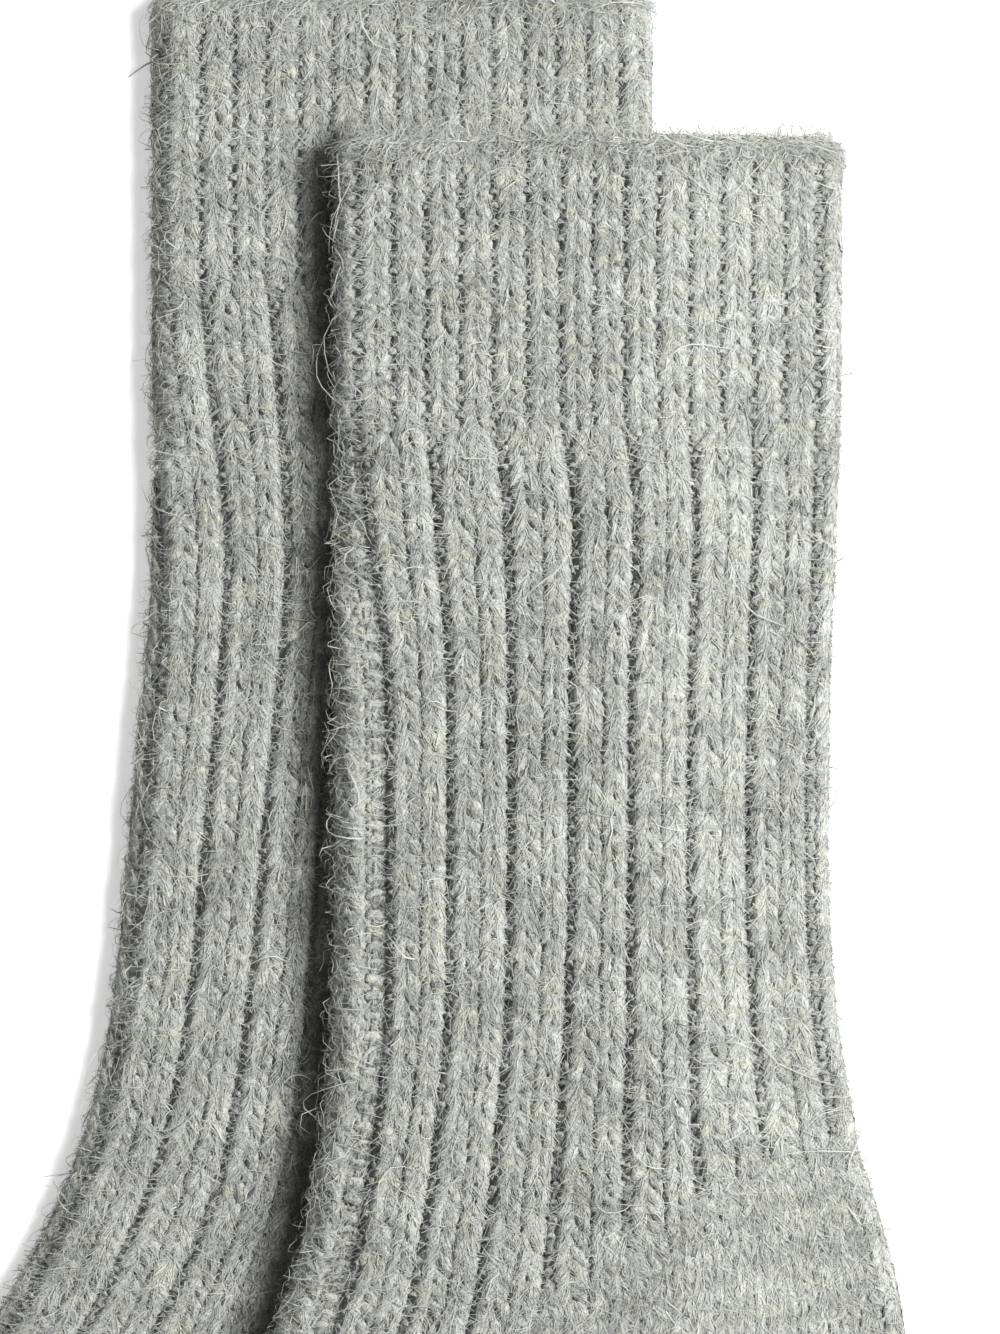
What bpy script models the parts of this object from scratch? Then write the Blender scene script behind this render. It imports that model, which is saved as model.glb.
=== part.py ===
"""A pair of chunky ribbed wool socks, laid flat in profile with one sock partly over the other.

Each sock is one knitted tube, so it is one solid: a double layer of thick cloth, open at the mouth and closed at the
toe. The cuff has a narrow 1 by 1 rib and the leg a wide 2 by 2 rib, which runs on over the instep. The heel, the sole
and the toe are plain. The sock on top is draped over the edge of the one below, down to the surface they lie on.

Lengths are in millimetres in the tables and become metres when the meshes are made. A sock is laid out with the
middle of its mouth at 0, 0, its leg down -Y and its toes towards -X, on the surface Z = 0.
"""

import math
from collections import namedtuple

import bmesh
import bpy
import numpy as np

MM = 0.001

# The cloth: a sock's height is its lower layer, the slit inside it, its upper layer and the ribs. The ribs fade out
# on the lower part of the folds, because the underside lies flat.
LOWER_WALL = 2.6
INSIDE_GAP = 0.7
UPPER_WALL = 2.4
RIB_RISE = 1.6
PLAIN_RISE = 1.1
GROOVE_DEPTH = 0.14
FLAT_HEIGHT = LOWER_WALL + INSIDE_GAP + UPPER_WALL
FOLD_WALL = 3.6
EDGE_INSET = 1.0
FADE_SHARE = 0.6

# The ribs: wide ribs are counted round the tube from near its front fold, with a trough at each whole number. The
# instep's edge, the back fold, the heel and its middle are at these counts.
RIBS_ROUND = 16
SIDE_RIB = 4.0
BACK_RIB = 8.42
HEEL_RIBS = (4.0, 12.0)
HEEL_CENTRE = 8.0

# Where the knit changes, in distances down the sock: narrow ribs to wide ones, and ribs to plain knit on the heel's
# slanting line and at the toe.
CUFF_END = 48.5
RIB_CHANGE = 2.0
HEEL_LINE_TOP = 171.0
HEEL_LINE_FALL = 3.0
HEEL_LINE_POWER = 1.5
TOE_START = 336.0
PLAIN_CHANGE = 5.0

# The mouth's corners and its rim are rounded.
CORNER_RADIUS = 3.2
CORNER_SHARE = 0.75

# The foot runs straight from the instep's bend to the toe, at this angle from the leg.
FOOT_START = (-78.8, -241.5)
FOOT_ANGLE = 44.0
FOOT_WIDTH = 90.0

Section = namedtuple("Section", "name front_x front_y tilt width side rib_start height")

# A row for each section down to the foot: its front edge, the tilt of the line from there to the back edge, that
# line's length, the distance to the line between instep and sole, and the rib count at the front fold.
LEG_SECTIONS = (
    Section("mouth", -42.1, 0.0, 0.0, 84.2, 37.0, 0.65, 0.70),
    Section("rim", -42.1, -0.9, 0.0, 84.2, 37.0, 0.65, 0.90),
    Section("cuff_top", -42.1, -3.2, 0.0, 84.2, 37.0, 0.65, 1.0),
    Section("cuff", -42.2, -25.0, 0.0, 84.2, 37.0, 0.65, 1.0),
    Section("cuff_end", -42.2, -47.5, 0.0, 84.0, 37.2, 0.65, 1.0),
    Section("leg_top", -42.2, -50.5, 0.0, 83.9, 37.6, 0.64, 1.0),
    Section("calf_top", -42.2, -64.0, 0.0, 83.4, 39.3, 0.56, 1.0),
    Section("calf", -42.3, -94.0, 0.0, 82.4, 38.7, 0.15, 1.0),
    Section("shin", -42.4, -120.0, 0.0, 82.2, 38.7, 0.12, 1.0),
    Section("shin_end", -42.5, -144.0, 0.0, 83.4, 38.3, 0.12, 1.0),
    Section("ankle", -43.4, -157.0, -1.3, 85.8, 38.5, 0.12, 1.0),
    Section("heel_top", -45.1, -171.0, -3.6, 89.5, 39.2, 0.12, 1.0),
    Section("heel_high", -47.8, -185.0, -3.4, 96.0, 40.6, 0.12, 1.0),
    Section("heel_back", -51.6, -197.5, -1.6, 103.6, 42.8, 0.12, 1.0),
    Section("heel_out", -56.0, -207.5, 2.4, 109.4, 43.4, 0.12, 1.0),
    Section("heel_turn", -60.5, -216.0, 7.4, 111.8, 43.4, 0.12, 1.0),
    Section("heel_low", -65.2, -223.8, 13.0, 109.6, 43.0, 0.12, 1.0),
    Section("heel_under", -69.8, -230.4, 19.8, 102.6, 42.4, 0.12, 1.0),
    Section("sole_top", -74.3, -236.2, 29.6, 94.6, 41.8, 0.12, 1.0),
    Section("arch", -79.0, -241.7, 37.6, 90.8, 41.2, 0.12, 1.0),
)

# A row for each section of the foot: its distance from the bend, its width and its height.
FootSection = namedtuple("FootSection", "name along width height")
FOOT_SECTIONS = (
    FootSection("foot_start", 10.0, 90.0, 1.0),
    FootSection("foot", 34.0, 90.0, 1.0),
    FootSection("toe_start", 60.0, 88.5, 1.0),
    FootSection("toe", 76.0, 81.0, 1.0),
    FootSection("toe_narrow", 90.0, 68.0, 0.98),
    FootSection("toe_round", 101.0, 51.0, 0.92),
    FootSection("toe_end", 108.0, 35.0, 0.78),
    FootSection("toe_tip", 111.5, 20.0, 0.50),
)

# How each sock lies: where its mouth is, how much narrower it lies at each edge, how many ribs it is turned round its
# own axis, and its sideways lean at the ankle.
Placing = namedtuple("Placing", "name x y slimmer rib_turn lean over")
PLACINGS = (
    Placing("sock_back", -31.5, 24.4, 0.5, 0.625, -4.0, None),
    Placing("sock_front", 0.0, 0.0, 0.0, 0.0, 0.0, "sock_back"),
)
LEAN_FROM = 92.0
LEAN_TO = 155.0

# The drape of the sock on top, from the height of the one below down to the surface.
CLEARANCE = 0.35
DRAPE_HEIGHT = FLAT_HEIGHT + RIB_RISE + CLEARANCE
DRAPE_REACH = 31.0
DRAPE_INSET = 3.0

# The middle of the pair's box, which becomes the origin.
BED_CENTRE = (-58.3458, -169.3346)

# The solid's rings: points on each rib of the upper side, the places of those below, how many of both the slit's rings
# use, and how many rings of the toe are closed.
UPPER_STEPS = 8
LOWER_RIBS = (8.5, 8.65, 8.8, 9.0, 9.5, 10.0, 10.5, 11.0, 11.5, 12.0, 12.5, 13.0, 13.5, 14.0, 14.5, 15.0, 15.5, 15.7,
              15.85, 16.0)
INNER_STRIDE = 4
LOWER_STRIDE = 2
CLOSED_RINGS = 3
WOOL = (0.52, 0.53, 0.51, 1.0)


def ease(value):
    """0 below 0, 1 above 1, and a smooth step between them."""
    value = np.clip(value, 0.0, 1.0)
    return value * value * (3.0 - 2.0 * value)


def foot_row(row):
    """A foot section in the form of the leg's: set back evenly from both edges of the foot."""
    angle = math.radians(FOOT_ANGLE)
    inset = 0.5 * (FOOT_WIDTH - row.width)
    x = FOOT_START[0] - row.along * math.sin(angle) + inset * math.cos(angle)
    y = FOOT_START[1] - row.along * math.cos(angle) - inset * math.sin(angle)
    side = min(41.0 - inset, 0.46 * row.width)
    return Section(row.name, x, y, FOOT_ANGLE, row.width, side, 0.12, row.height)


SECTIONS = LEG_SECTIONS + tuple(foot_row(row) for row in FOOT_SECTIONS)
COLUMNS = np.array([row[1:] for row in SECTIONS], dtype=float)


def side_points():
    """The points of the line between instep and sole, one for each section."""
    tilt = np.radians(COLUMNS[:, 2])
    x = COLUMNS[:, 0] + COLUMNS[:, 4] * np.cos(tilt)
    y = COLUMNS[:, 1] - COLUMNS[:, 4] * np.sin(tilt)
    return np.stack([x, y], axis=1)


def distances(points):
    """The distance of each point from the first, along the line."""
    steps = np.linalg.norm(np.diff(points, axis=0), axis=1)
    return np.concatenate([[0.0], np.cumsum(steps)])


DOWN = distances(side_points())


def table_slopes():
    """Each column's slope at each row, chosen so that a curve between two rows never passes beyond them."""
    rates = np.diff(COLUMNS, axis=0) / np.diff(DOWN)[:, None]
    before, after = rates[:-1], rates[1:]
    product = before * after
    total = np.where(product > 0.0, before + after, 1.0)
    middle = np.where(product > 0.0, 2.0 * product / total, 0.0)
    return np.concatenate([rates[:1], middle, rates[-1:]])


SLOPES = table_slopes()


def section_at(down):
    """The section at a distance down the sock, on a smooth curve through the table's rows."""
    row = int(np.clip(np.searchsorted(DOWN, down, side="right") - 1, 0, len(DOWN) - 2))
    span = DOWN[row + 1] - DOWN[row]
    part = (down - DOWN[row]) / span
    start = COLUMNS[row] * (1 + 2 * part) * (1 - part) ** 2 + SLOPES[row] * span * part * (1 - part) ** 2
    end = COLUMNS[row + 1] * (3 - 2 * part) * part ** 2 - SLOPES[row + 1] * span * part ** 2 * (1 - part)
    return Section("", *(start + end))


def stations():
    """Where the solid has its rings: at each row of the table, and halfway where the sock bends."""
    bend_from = DOWN[[row.name for row in SECTIONS].index("shin_end")]
    bend_to = DOWN[[row.name for row in SECTIONS].index("arch")]
    downs = []
    for here, there in zip(DOWN[:-1], DOWN[1:]):
        downs.append(here)
        if bend_from <= here < bend_to:
            downs.append(0.5 * (here + there))
    downs.append(DOWN[-1])
    return downs


def rib_grid():
    """The rib counts where a ring has its points, on a sock that isn't turned: fine over the top, coarse below."""
    upper = [step / UPPER_STEPS for step in range(1, int(BACK_RIB * UPPER_STEPS) + 1)]
    return np.array(upper + list(LOWER_RIBS))


def arc_at(grid, section, inset, width, height):
    """The distance round the outline, from the front fold over the top, at each place of the grid."""
    radius = 0.5 * height
    quarter = 0.5 * math.pi * radius
    half = width - 2 * radius + 2 * quarter
    start = section.rib_start
    side_arc = section.side - inset - radius + quarter
    knots = np.array([start, SIDE_RIB, BACK_RIB, start + RIBS_ROUND])
    arcs = np.array([0.0, side_arc, half, 2 * half])
    wrapped = np.where(grid < start, grid + RIBS_ROUND, grid)
    return np.interp(wrapped, knots, arcs)


def outline(arcs, width, height):
    """Points and outward directions on a flat tube's outline: two flats and two round folds."""
    radius = 0.5 * height
    quarter = 0.5 * math.pi * radius
    flat = width - 2 * radius
    half = flat + 2 * quarter
    below = arcs > half
    arc = np.where(below, 2 * half - arcs, arcs)
    front = np.clip(arc / radius, 0.0, 0.5 * math.pi)
    back = np.clip((arc - quarter - flat) / radius, 0.0, 0.5 * math.pi)
    along = np.clip(arc - quarter, 0.0, flat)
    x = radius * (1 - np.cos(front)) + along + radius * np.sin(back)
    rise = np.where(arc < quarter, np.sin(front), np.cos(back))
    out = np.where(arc < quarter, -np.cos(front), np.sin(back))
    sign = np.where(below, -1.0, 1.0)
    return x, radius + sign * radius * rise, out, sign * rise


def narrow_ribs(ribs):
    """The cuff's 1 by 1 rib: two round ribs in the room of one wide rib."""
    return 1.0 - np.abs(2.0 * ((2.0 * ribs) % 1.0) - 1.0) ** 4


def wide_ribs(ribs):
    """The leg's 2 by 2 rib: a deep trough, and a shallow groove between the rib's two columns."""
    place = ribs % 1.0
    trough = np.abs(2.0 * place - 1.0) ** 7
    groove = GROOVE_DEPTH * np.clip(1.0 - np.abs(place - 0.5) * UPPER_STEPS, 0.0, 1.0)
    return 1.0 - trough - groove


def relief(ribs, down):
    """How far the knit stands out from the cloth's base, at rib counts round the tube."""
    cuff = narrow_ribs(ribs)
    leg = wide_ribs(ribs)
    change = ease((down - CUFF_END) / RIB_CHANGE + 0.5)
    ribbed = RIB_RISE * (cuff * (1 - change) + leg * change)
    line = HEEL_LINE_TOP + HEEL_LINE_FALL * np.abs(ribs - HEEL_CENTRE) ** HEEL_LINE_POWER
    in_heel = (ribs >= HEEL_RIBS[0]) & (ribs <= HEEL_RIBS[1])
    end = np.where(in_heel, line, TOE_START)
    plain = ease((down - end) / PLAIN_CHANGE + 0.5)
    return ribbed * (1 - plain) + PLAIN_RISE * plain


def lean_at(y, placing):
    """How far a sock leans sideways at a height y down its leg."""
    return placing.lean * ease((-y - LEAN_FROM) / (LEAN_TO - LEAN_FROM))


def edge_inset(down, placing):
    """How far the tube's base is set in from the sock's edges, which is more at the mouth's round corners."""
    rest = max(0.0, CORNER_RADIUS - down)
    corner = CORNER_RADIUS - math.sqrt(CORNER_RADIUS ** 2 - CORNER_SHARE * rest ** 2)
    return EDGE_INSET + placing.slimmer + corner


def on_bed(section, across, placing):
    """Points on the surface, at distances across a section from its front edge."""
    tilt = math.radians(section.tilt)
    x = section.front_x + across * math.cos(tilt)
    y = section.front_y - across * math.sin(tilt)
    return x + lean_at(section.front_y, placing) + placing.x, y + placing.y


def outer_ring(down, placing):
    """One ring of the sock's outside."""
    section = section_at(down)
    inset = edge_inset(down, placing)
    width = section.width - 2 * inset
    height = FLAT_HEIGHT * section.height
    grid = rib_grid()
    across, up, out, rise = outline(arc_at(grid, section, inset, width, height), width, height)
    share = section.height * np.clip(up / (FADE_SHARE * height), 0.0, 1.0)
    stand = share * relief((grid + placing.rib_turn) % RIBS_ROUND, down)
    x, y = on_bed(section, inset + across + stand * out, placing)
    return np.stack([x, y, up + stand * np.clip(rise, 0.0, 1.0)], axis=1)


def inner_ring(down, placing, picks):
    """One ring of the slit inside the sock, between its two layers."""
    section = section_at(down)
    inset = edge_inset(down, placing)
    width = section.width - 2 * inset
    height = FLAT_HEIGHT * section.height
    across, up, _, _ = outline(arc_at(rib_grid()[picks], section, inset, width, height), width, height)
    across = inset + FOLD_WALL + across * (width - 2 * FOLD_WALL) / width
    x, y = on_bed(section, across, placing)
    low = LOWER_WALL * section.height
    high = (LOWER_WALL + INSIDE_GAP) * section.height
    return np.stack([x, y, np.where(up > 0.5 * height, high, low)], axis=1)


def footprint(placing):
    """The sock's outline on the surface, as a closed ring of points."""
    sections = [section_at(down) for down in np.linspace(0.0, DOWN[-1], 90)]
    front = [on_bed(section, 0.0, placing) for section in sections]
    back = [on_bed(section, section.width, placing) for section in sections]
    return np.array(front + back[::-1])


def distance_outside(points, ring):
    """How far points lie outside a closed ring: negative inside it."""
    start = ring
    step = np.roll(ring, -1, axis=0) - start
    offset = points[:, None, :] - start[None, :, :]
    along = np.clip((offset * step).sum(axis=2) / (step ** 2).sum(axis=1), 0.0, 1.0)
    gap = np.linalg.norm(offset - along[:, :, None] * step, axis=2).min(axis=1)
    x, y = points[:, 0, None], points[:, 1, None]
    x0, y0 = start[:, 0], start[:, 1]
    x1, y1 = x0 + step[:, 0], y0 + step[:, 1]
    rises = np.where(y1 == y0, 1.0, y1 - y0)
    crosses = ((y0 > y) != (y1 > y)) & (x < x0 + (y - y0) * (x1 - x0) / rises)
    inside = crosses.sum(axis=1) % 2 == 1
    return np.where(inside, -gap, gap)


def drape(points, ring):
    """The height that the sock below gives each point of the one on top."""
    outside = distance_outside(points[:, :2], ring) + DRAPE_INSET
    return DRAPE_HEIGHT * (1.0 - ease(outside / DRAPE_REACH))


def loft(bm, rings, outwards):
    """Quads between closed rings of points, facing outwards or into the tube; returns the rings' vertices."""
    rows = [[bm.verts.new(point) for point in ring] for ring in rings]
    for here, there in zip(rows[:-1], rows[1:]):
        for index in range(len(here)):
            after = (index + 1) % len(here)
            corners = [here[index], here[after], there[after], there[index]]
            bm.faces.new(corners[::-1] if outwards else corners)
    return rows


def close_mouth(bm, outer, inner, picks):
    """The rim: a face from each stretch of the inner ring to the outer points beside it."""
    count = len(outer)
    for index, pick in enumerate(picks):
        after = (index + 1) % len(picks)
        last = picks[after] if after else picks[0] + count
        edge = [outer[step % count] for step in range(pick, last + 1)]
        bm.faces.new(edge + [inner[after], inner[index]])


def make_sock(placing, ring_below, collection, material):
    """One sock as a closed solid."""
    count = len(rib_grid())
    upper = int(BACK_RIB * UPPER_STEPS)
    picks = list(range(0, upper, INNER_STRIDE)) + list(range(upper, count, LOWER_STRIDE))
    downs = stations()
    outer = [outer_ring(down, placing) for down in downs]
    inner = [inner_ring(down, placing, picks) for down in downs[:-CLOSED_RINGS]]
    if ring_below is not None:
        for ring in outer + inner:
            ring[:, 2] += drape(ring, ring_below)
    shift = np.array([BED_CENTRE[0], BED_CENTRE[1], 0.0])
    bm = bmesh.new()
    outer_rows = loft(bm, [(ring - shift) * MM for ring in outer], outwards=True)
    inner_rows = loft(bm, [(ring - shift) * MM for ring in inner], outwards=False)
    close_mouth(bm, outer_rows[0], inner_rows[0], picks)
    bm.faces.new(outer_rows[-1][::-1])
    bm.faces.new(inner_rows[-1])
    bmesh.ops.triangulate(bm, faces=bm.faces)
    mesh = bpy.data.meshes.new(placing.name)
    bm.to_mesh(mesh)
    bm.free()
    mesh.materials.append(material)
    mesh.shade_smooth()
    sock = bpy.data.objects.new(placing.name, mesh)
    collection.objects.link(sock)
    return sock


def wool(name):
    """Light grey wool, with no shine."""
    material = bpy.data.materials.new(name)
    material.use_nodes = True
    shader = material.node_tree.nodes["Principled BSDF"]
    shader.inputs["Base Color"].default_value = WOOL
    shader.inputs["Roughness"].default_value = 0.95
    shader.inputs["Metallic"].default_value = 0.0
    return material


def main():
    for old in list(bpy.data.objects):
        bpy.data.objects.remove(old, do_unlink=True)
    collection = bpy.data.collections.new("wool_socks")
    bpy.context.scene.collection.children.link(collection)
    below = {placing.name: footprint(placing) for placing in PLACINGS}
    for placing in PLACINGS:
        material = wool("wool_" + placing.name)
        make_sock(placing, below.get(placing.over), collection, material)


main()
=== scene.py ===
"""A pair of chunky ribbed wool socks, laid flat in profile with one sock partly over the other.

Each sock is a thin knitted shell on its solid's form. On the shell lie the knit's own strands: the two legs
of every knit stitch, the bars of the purl stitches between the ribs, and the cast-on edge. Over them lies
the wool's fuzz.

Lengths are in millimetres in the tables and become metres when the meshes are made. A sock is laid out with
the middle of its mouth at 0, 0, its leg down -Y and its toes towards -X, on the surface Z = 0.
"""

import math
from collections import namedtuple

import bpy
import numpy as np
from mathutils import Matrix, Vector


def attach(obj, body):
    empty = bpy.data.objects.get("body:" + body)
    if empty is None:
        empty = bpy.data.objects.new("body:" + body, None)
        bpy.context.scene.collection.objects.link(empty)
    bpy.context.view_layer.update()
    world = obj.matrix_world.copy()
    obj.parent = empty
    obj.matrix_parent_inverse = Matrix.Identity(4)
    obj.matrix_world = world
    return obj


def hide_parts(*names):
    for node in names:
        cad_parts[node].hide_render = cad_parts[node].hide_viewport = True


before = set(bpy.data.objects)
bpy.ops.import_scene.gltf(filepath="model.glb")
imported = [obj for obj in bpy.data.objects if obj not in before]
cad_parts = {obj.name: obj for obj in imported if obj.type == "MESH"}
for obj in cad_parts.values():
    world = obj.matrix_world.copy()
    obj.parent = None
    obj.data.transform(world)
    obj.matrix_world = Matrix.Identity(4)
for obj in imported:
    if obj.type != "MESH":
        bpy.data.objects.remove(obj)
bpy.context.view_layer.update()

MM = 0.001

# --------------------------------------------------------------------------------------------------
# The socks' form, as in the solids: the cloth's layers, the ribs and the sections down the sock.

LOWER_WALL = 2.6
INSIDE_GAP = 0.7
UPPER_WALL = 2.4
RIB_RISE = 1.6
PLAIN_RISE = 1.1
FLAT_HEIGHT = LOWER_WALL + INSIDE_GAP + UPPER_WALL
FOLD_WALL = 3.6
EDGE_INSET = 1.0
FADE_SHARE = 0.6

# Ribs are counted round the sock from beside its front fold. These are the counts at the line between instep
# and sole, at the back fold, and at the heel's two sides and its middle.
RIBS_ROUND = 16
SIDE_RIB = 4.0
BACK_RIB = 8.42
HEEL_RIBS = (4.0, 12.0)
HEEL_CENTRE = 8.0

# Distances down the sock: where the cuff ends, where the heel line starts and how it falls to both sides, and
# where the toe starts. Each change of knit is spread over a few millimetres.
CUFF_END = 48.5
RIB_CHANGE = 2.0
HEEL_LINE_TOP = 171.0
HEEL_LINE_FALL = 3.0
HEEL_LINE_POWER = 1.5
TOE_START = 336.0
PLAIN_CHANGE = 5.0

# The mouth's corners are round.
CORNER_RADIUS = 3.2
CORNER_SHARE = 0.75

FOOT_START = (-78.8, -241.5)
FOOT_ANGLE = 44.0
FOOT_WIDTH = 90.0
FOOT_SIDE = 41.0
NARROW_SIDE = 0.46
FOOT_RIB_START = 0.12

# A section across the sock: where its front edge lies, its tilt in degrees, its width, how far across it the
# instep meets the sole, the rib count at its front fold, and its height as a share of the full one.
Section = namedtuple("Section", "name front_x front_y tilt width side rib_start height")
LEG_SECTIONS = (
    Section("mouth", -42.1, 0.0, 0.0, 84.2, 37.0, 0.65, 0.70),
    Section("rim", -42.1, -0.9, 0.0, 84.2, 37.0, 0.65, 0.90),
    Section("cuff_top", -42.1, -3.2, 0.0, 84.2, 37.0, 0.65, 1.0),
    Section("cuff", -42.2, -25.0, 0.0, 84.2, 37.0, 0.65, 1.0),
    Section("cuff_end", -42.2, -47.5, 0.0, 84.0, 37.2, 0.65, 1.0),
    Section("leg_top", -42.2, -50.5, 0.0, 83.9, 37.6, 0.64, 1.0),
    Section("calf_top", -42.2, -64.0, 0.0, 83.4, 39.3, 0.56, 1.0),
    Section("calf", -42.3, -94.0, 0.0, 82.4, 38.7, 0.15, 1.0),
    Section("shin", -42.4, -120.0, 0.0, 82.2, 38.7, 0.12, 1.0),
    Section("shin_end", -42.5, -144.0, 0.0, 83.4, 38.3, 0.12, 1.0),
    Section("ankle", -43.4, -157.0, -1.3, 85.8, 38.5, 0.12, 1.0),
    Section("heel_top", -45.1, -171.0, -3.6, 89.5, 39.2, 0.12, 1.0),
    Section("heel_high", -47.8, -185.0, -3.4, 96.0, 40.6, 0.12, 1.0),
    Section("heel_back", -51.6, -197.5, -1.6, 103.6, 42.8, 0.12, 1.0),
    Section("heel_out", -56.0, -207.5, 2.4, 109.4, 43.4, 0.12, 1.0),
    Section("heel_turn", -60.5, -216.0, 7.4, 111.8, 43.4, 0.12, 1.0),
    Section("heel_low", -65.2, -223.8, 13.0, 109.6, 43.0, 0.12, 1.0),
    Section("heel_under", -69.8, -230.4, 19.8, 102.6, 42.4, 0.12, 1.0),
    Section("sole_top", -74.3, -236.2, 29.6, 94.6, 41.8, 0.12, 1.0),
    Section("arch", -79.0, -241.7, 37.6, 90.8, 41.2, 0.12, 1.0),
)

# A section of the foot, at a distance along it.
FootSection = namedtuple("FootSection", "name along width height")
FOOT_SECTIONS = (
    FootSection("foot_start", 10.0, 90.0, 1.0),
    FootSection("foot", 34.0, 90.0, 1.0),
    FootSection("toe_start", 60.0, 88.5, 1.0),
    FootSection("toe", 76.0, 81.0, 1.0),
    FootSection("toe_narrow", 90.0, 68.0, 0.98),
    FootSection("toe_round", 101.0, 51.0, 0.92),
    FootSection("toe_end", 108.0, 35.0, 0.78),
    FootSection("toe_tip", 111.5, 20.0, 0.50),
)

# Where a sock lies: its place, how much slimmer its tube is, how many ribs its pattern is turned by, how far
# its lower leg leans, the number that sets its wool's patches, its share of the fuzz, and the sock under it.
Placing = namedtuple("Placing", "name x y slimmer rib_turn lean seed fuzz_share over")
BACK = Placing("sock_back", -31.5, 24.4, 0.5, 0.625, -4.0, 11.0, 0.40, None)
FRONT = Placing("sock_front", 0.0, 0.0, 0.0, 0.0, 0.0, 47.0, 0.60, BACK)
LEAN_FROM = 92.0
LEAN_TO = 155.0

# The front sock rises over the back one, and comes down to the surface beyond its outline.
CLEARANCE = 0.35
DRAPE_HEIGHT = FLAT_HEIGHT + RIB_RISE + CLEARANCE
DRAPE_REACH = 31.0
DRAPE_INSET = 3.0

# The middle of the pair's box, in the socks' own places: it becomes the frame's origin.
BED_CENTRE = (-58.3458, -169.3346)


def ease(value):
    """0 below 0, 1 above 1, and a smooth step between them."""
    value = np.clip(value, 0.0, 1.0)
    return value * value * (3.0 - 2.0 * value)


def foot_row(row):
    """A foot section in the form of the leg's: set back evenly from both edges of the foot."""
    angle = math.radians(FOOT_ANGLE)
    inset = 0.5 * (FOOT_WIDTH - row.width)
    x = FOOT_START[0] - row.along * math.sin(angle) + inset * math.cos(angle)
    y = FOOT_START[1] - row.along * math.cos(angle) - inset * math.sin(angle)
    side = min(FOOT_SIDE - inset, NARROW_SIDE * row.width)
    return Section(row.name, x, y, FOOT_ANGLE, row.width, side, FOOT_RIB_START, row.height)


SECTIONS = LEG_SECTIONS + tuple(foot_row(row) for row in FOOT_SECTIONS)
COLUMNS = np.array([row[1:] for row in SECTIONS], dtype=float)


def down_the_side():
    """Each section's distance down the line between instep and sole."""
    table = Section("", *COLUMNS.T)
    tilt = np.radians(table.tilt)
    x = table.front_x + table.side * np.cos(tilt)
    y = table.front_y - table.side * np.sin(tilt)
    return np.concatenate([[0.0], np.cumsum(np.hypot(np.diff(x), np.diff(y)))])


DOWN = down_the_side()
TOE_TIP = DOWN[-1]


def table_slopes():
    """Each column's slope at each row, chosen so that a curve between two rows never passes beyond them."""
    rates = np.diff(COLUMNS, axis=0) / np.diff(DOWN)[:, None]
    before, after = rates[:-1], rates[1:]
    product = before * after
    total = np.where(product > 0.0, before + after, 1.0)
    middle = np.where(product > 0.0, 2.0 * product / total, 0.0)
    return np.concatenate([rates[:1], middle, rates[-1:]])


SLOPES = table_slopes()


def section_at(down):
    """The sections at distances down the sock, on smooth curves through the table's rows."""
    row = np.clip(np.searchsorted(DOWN, down, side="right") - 1, 0, len(DOWN) - 2)
    span = (DOWN[row + 1] - DOWN[row])[..., None]
    part = (down - DOWN[row])[..., None] / span
    start = COLUMNS[row] * (1 + 2 * part) * (1 - part) ** 2 + SLOPES[row] * span * part * (1 - part) ** 2
    end = COLUMNS[row + 1] * (3 - 2 * part) * part ** 2 - SLOPES[row + 1] * span * part ** 2 * (1 - part)
    return Section("", *np.moveaxis(start + end, -1, 0))


def arc_at(ribs, section, inset, width, height):
    """The distance round the outline, from the front fold over the top, at rib counts."""
    radius = 0.5 * height
    quarter = 0.5 * math.pi * radius
    half = width - 2 * radius + 2 * quarter
    start = section.rib_start
    side_arc = section.side - inset - radius + quarter
    wrapped = start + (ribs - start) % RIBS_ROUND
    instep = (wrapped - start) / (SIDE_RIB - start) * side_arc
    sole = side_arc + (wrapped - SIDE_RIB) / (BACK_RIB - SIDE_RIB) * (half - side_arc)
    under = half + (wrapped - BACK_RIB) / (start + RIBS_ROUND - BACK_RIB) * half
    return np.where(wrapped < SIDE_RIB, instep, np.where(wrapped < BACK_RIB, sole, under))


def outline(arcs, width, height):
    """Points and outward directions on a flat tube's outline: two flats and two round folds."""
    radius = 0.5 * height
    quarter = 0.5 * math.pi * radius
    flat = width - 2 * radius
    half = flat + 2 * quarter
    below = arcs > half
    arc = np.where(below, 2 * half - arcs, arcs)
    front = np.clip(arc / radius, 0.0, 0.5 * math.pi)
    back = np.clip((arc - quarter - flat) / radius, 0.0, 0.5 * math.pi)
    along = np.clip(arc - quarter, 0.0, flat)
    x = radius * (1 - np.cos(front)) + along + radius * np.sin(back)
    rise = np.where(arc < quarter, np.sin(front), np.cos(back))
    out = np.where(arc < quarter, -np.cos(front), np.sin(back))
    sign = np.where(below, -1.0, 1.0)
    return x, radius + sign * radius * rise, out, sign * rise


def lean_at(y, placing):
    """How far a sock leans sideways at a height y down its leg."""
    return placing.lean * ease((-y - LEAN_FROM) / (LEAN_TO - LEAN_FROM))


def edge_inset(down, placing):
    """How far the tube's base is set in from the sock's edges, which is more at the mouth's round corners."""
    rest = np.clip(CORNER_RADIUS - down, 0.0, CORNER_RADIUS)
    corner = CORNER_RADIUS - np.sqrt(CORNER_RADIUS ** 2 - CORNER_SHARE * rest ** 2)
    return EDGE_INSET + placing.slimmer + corner


def on_bed(section, across, placing):
    """Points on the surface, at distances across a section from its front edge."""
    tilt = np.radians(section.tilt)
    x = section.front_x + across * np.cos(tilt)
    y = section.front_y - across * np.sin(tilt)
    return x + lean_at(section.front_y, placing) + placing.x, y + placing.y


OUTLINE_STEPS = 90


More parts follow.
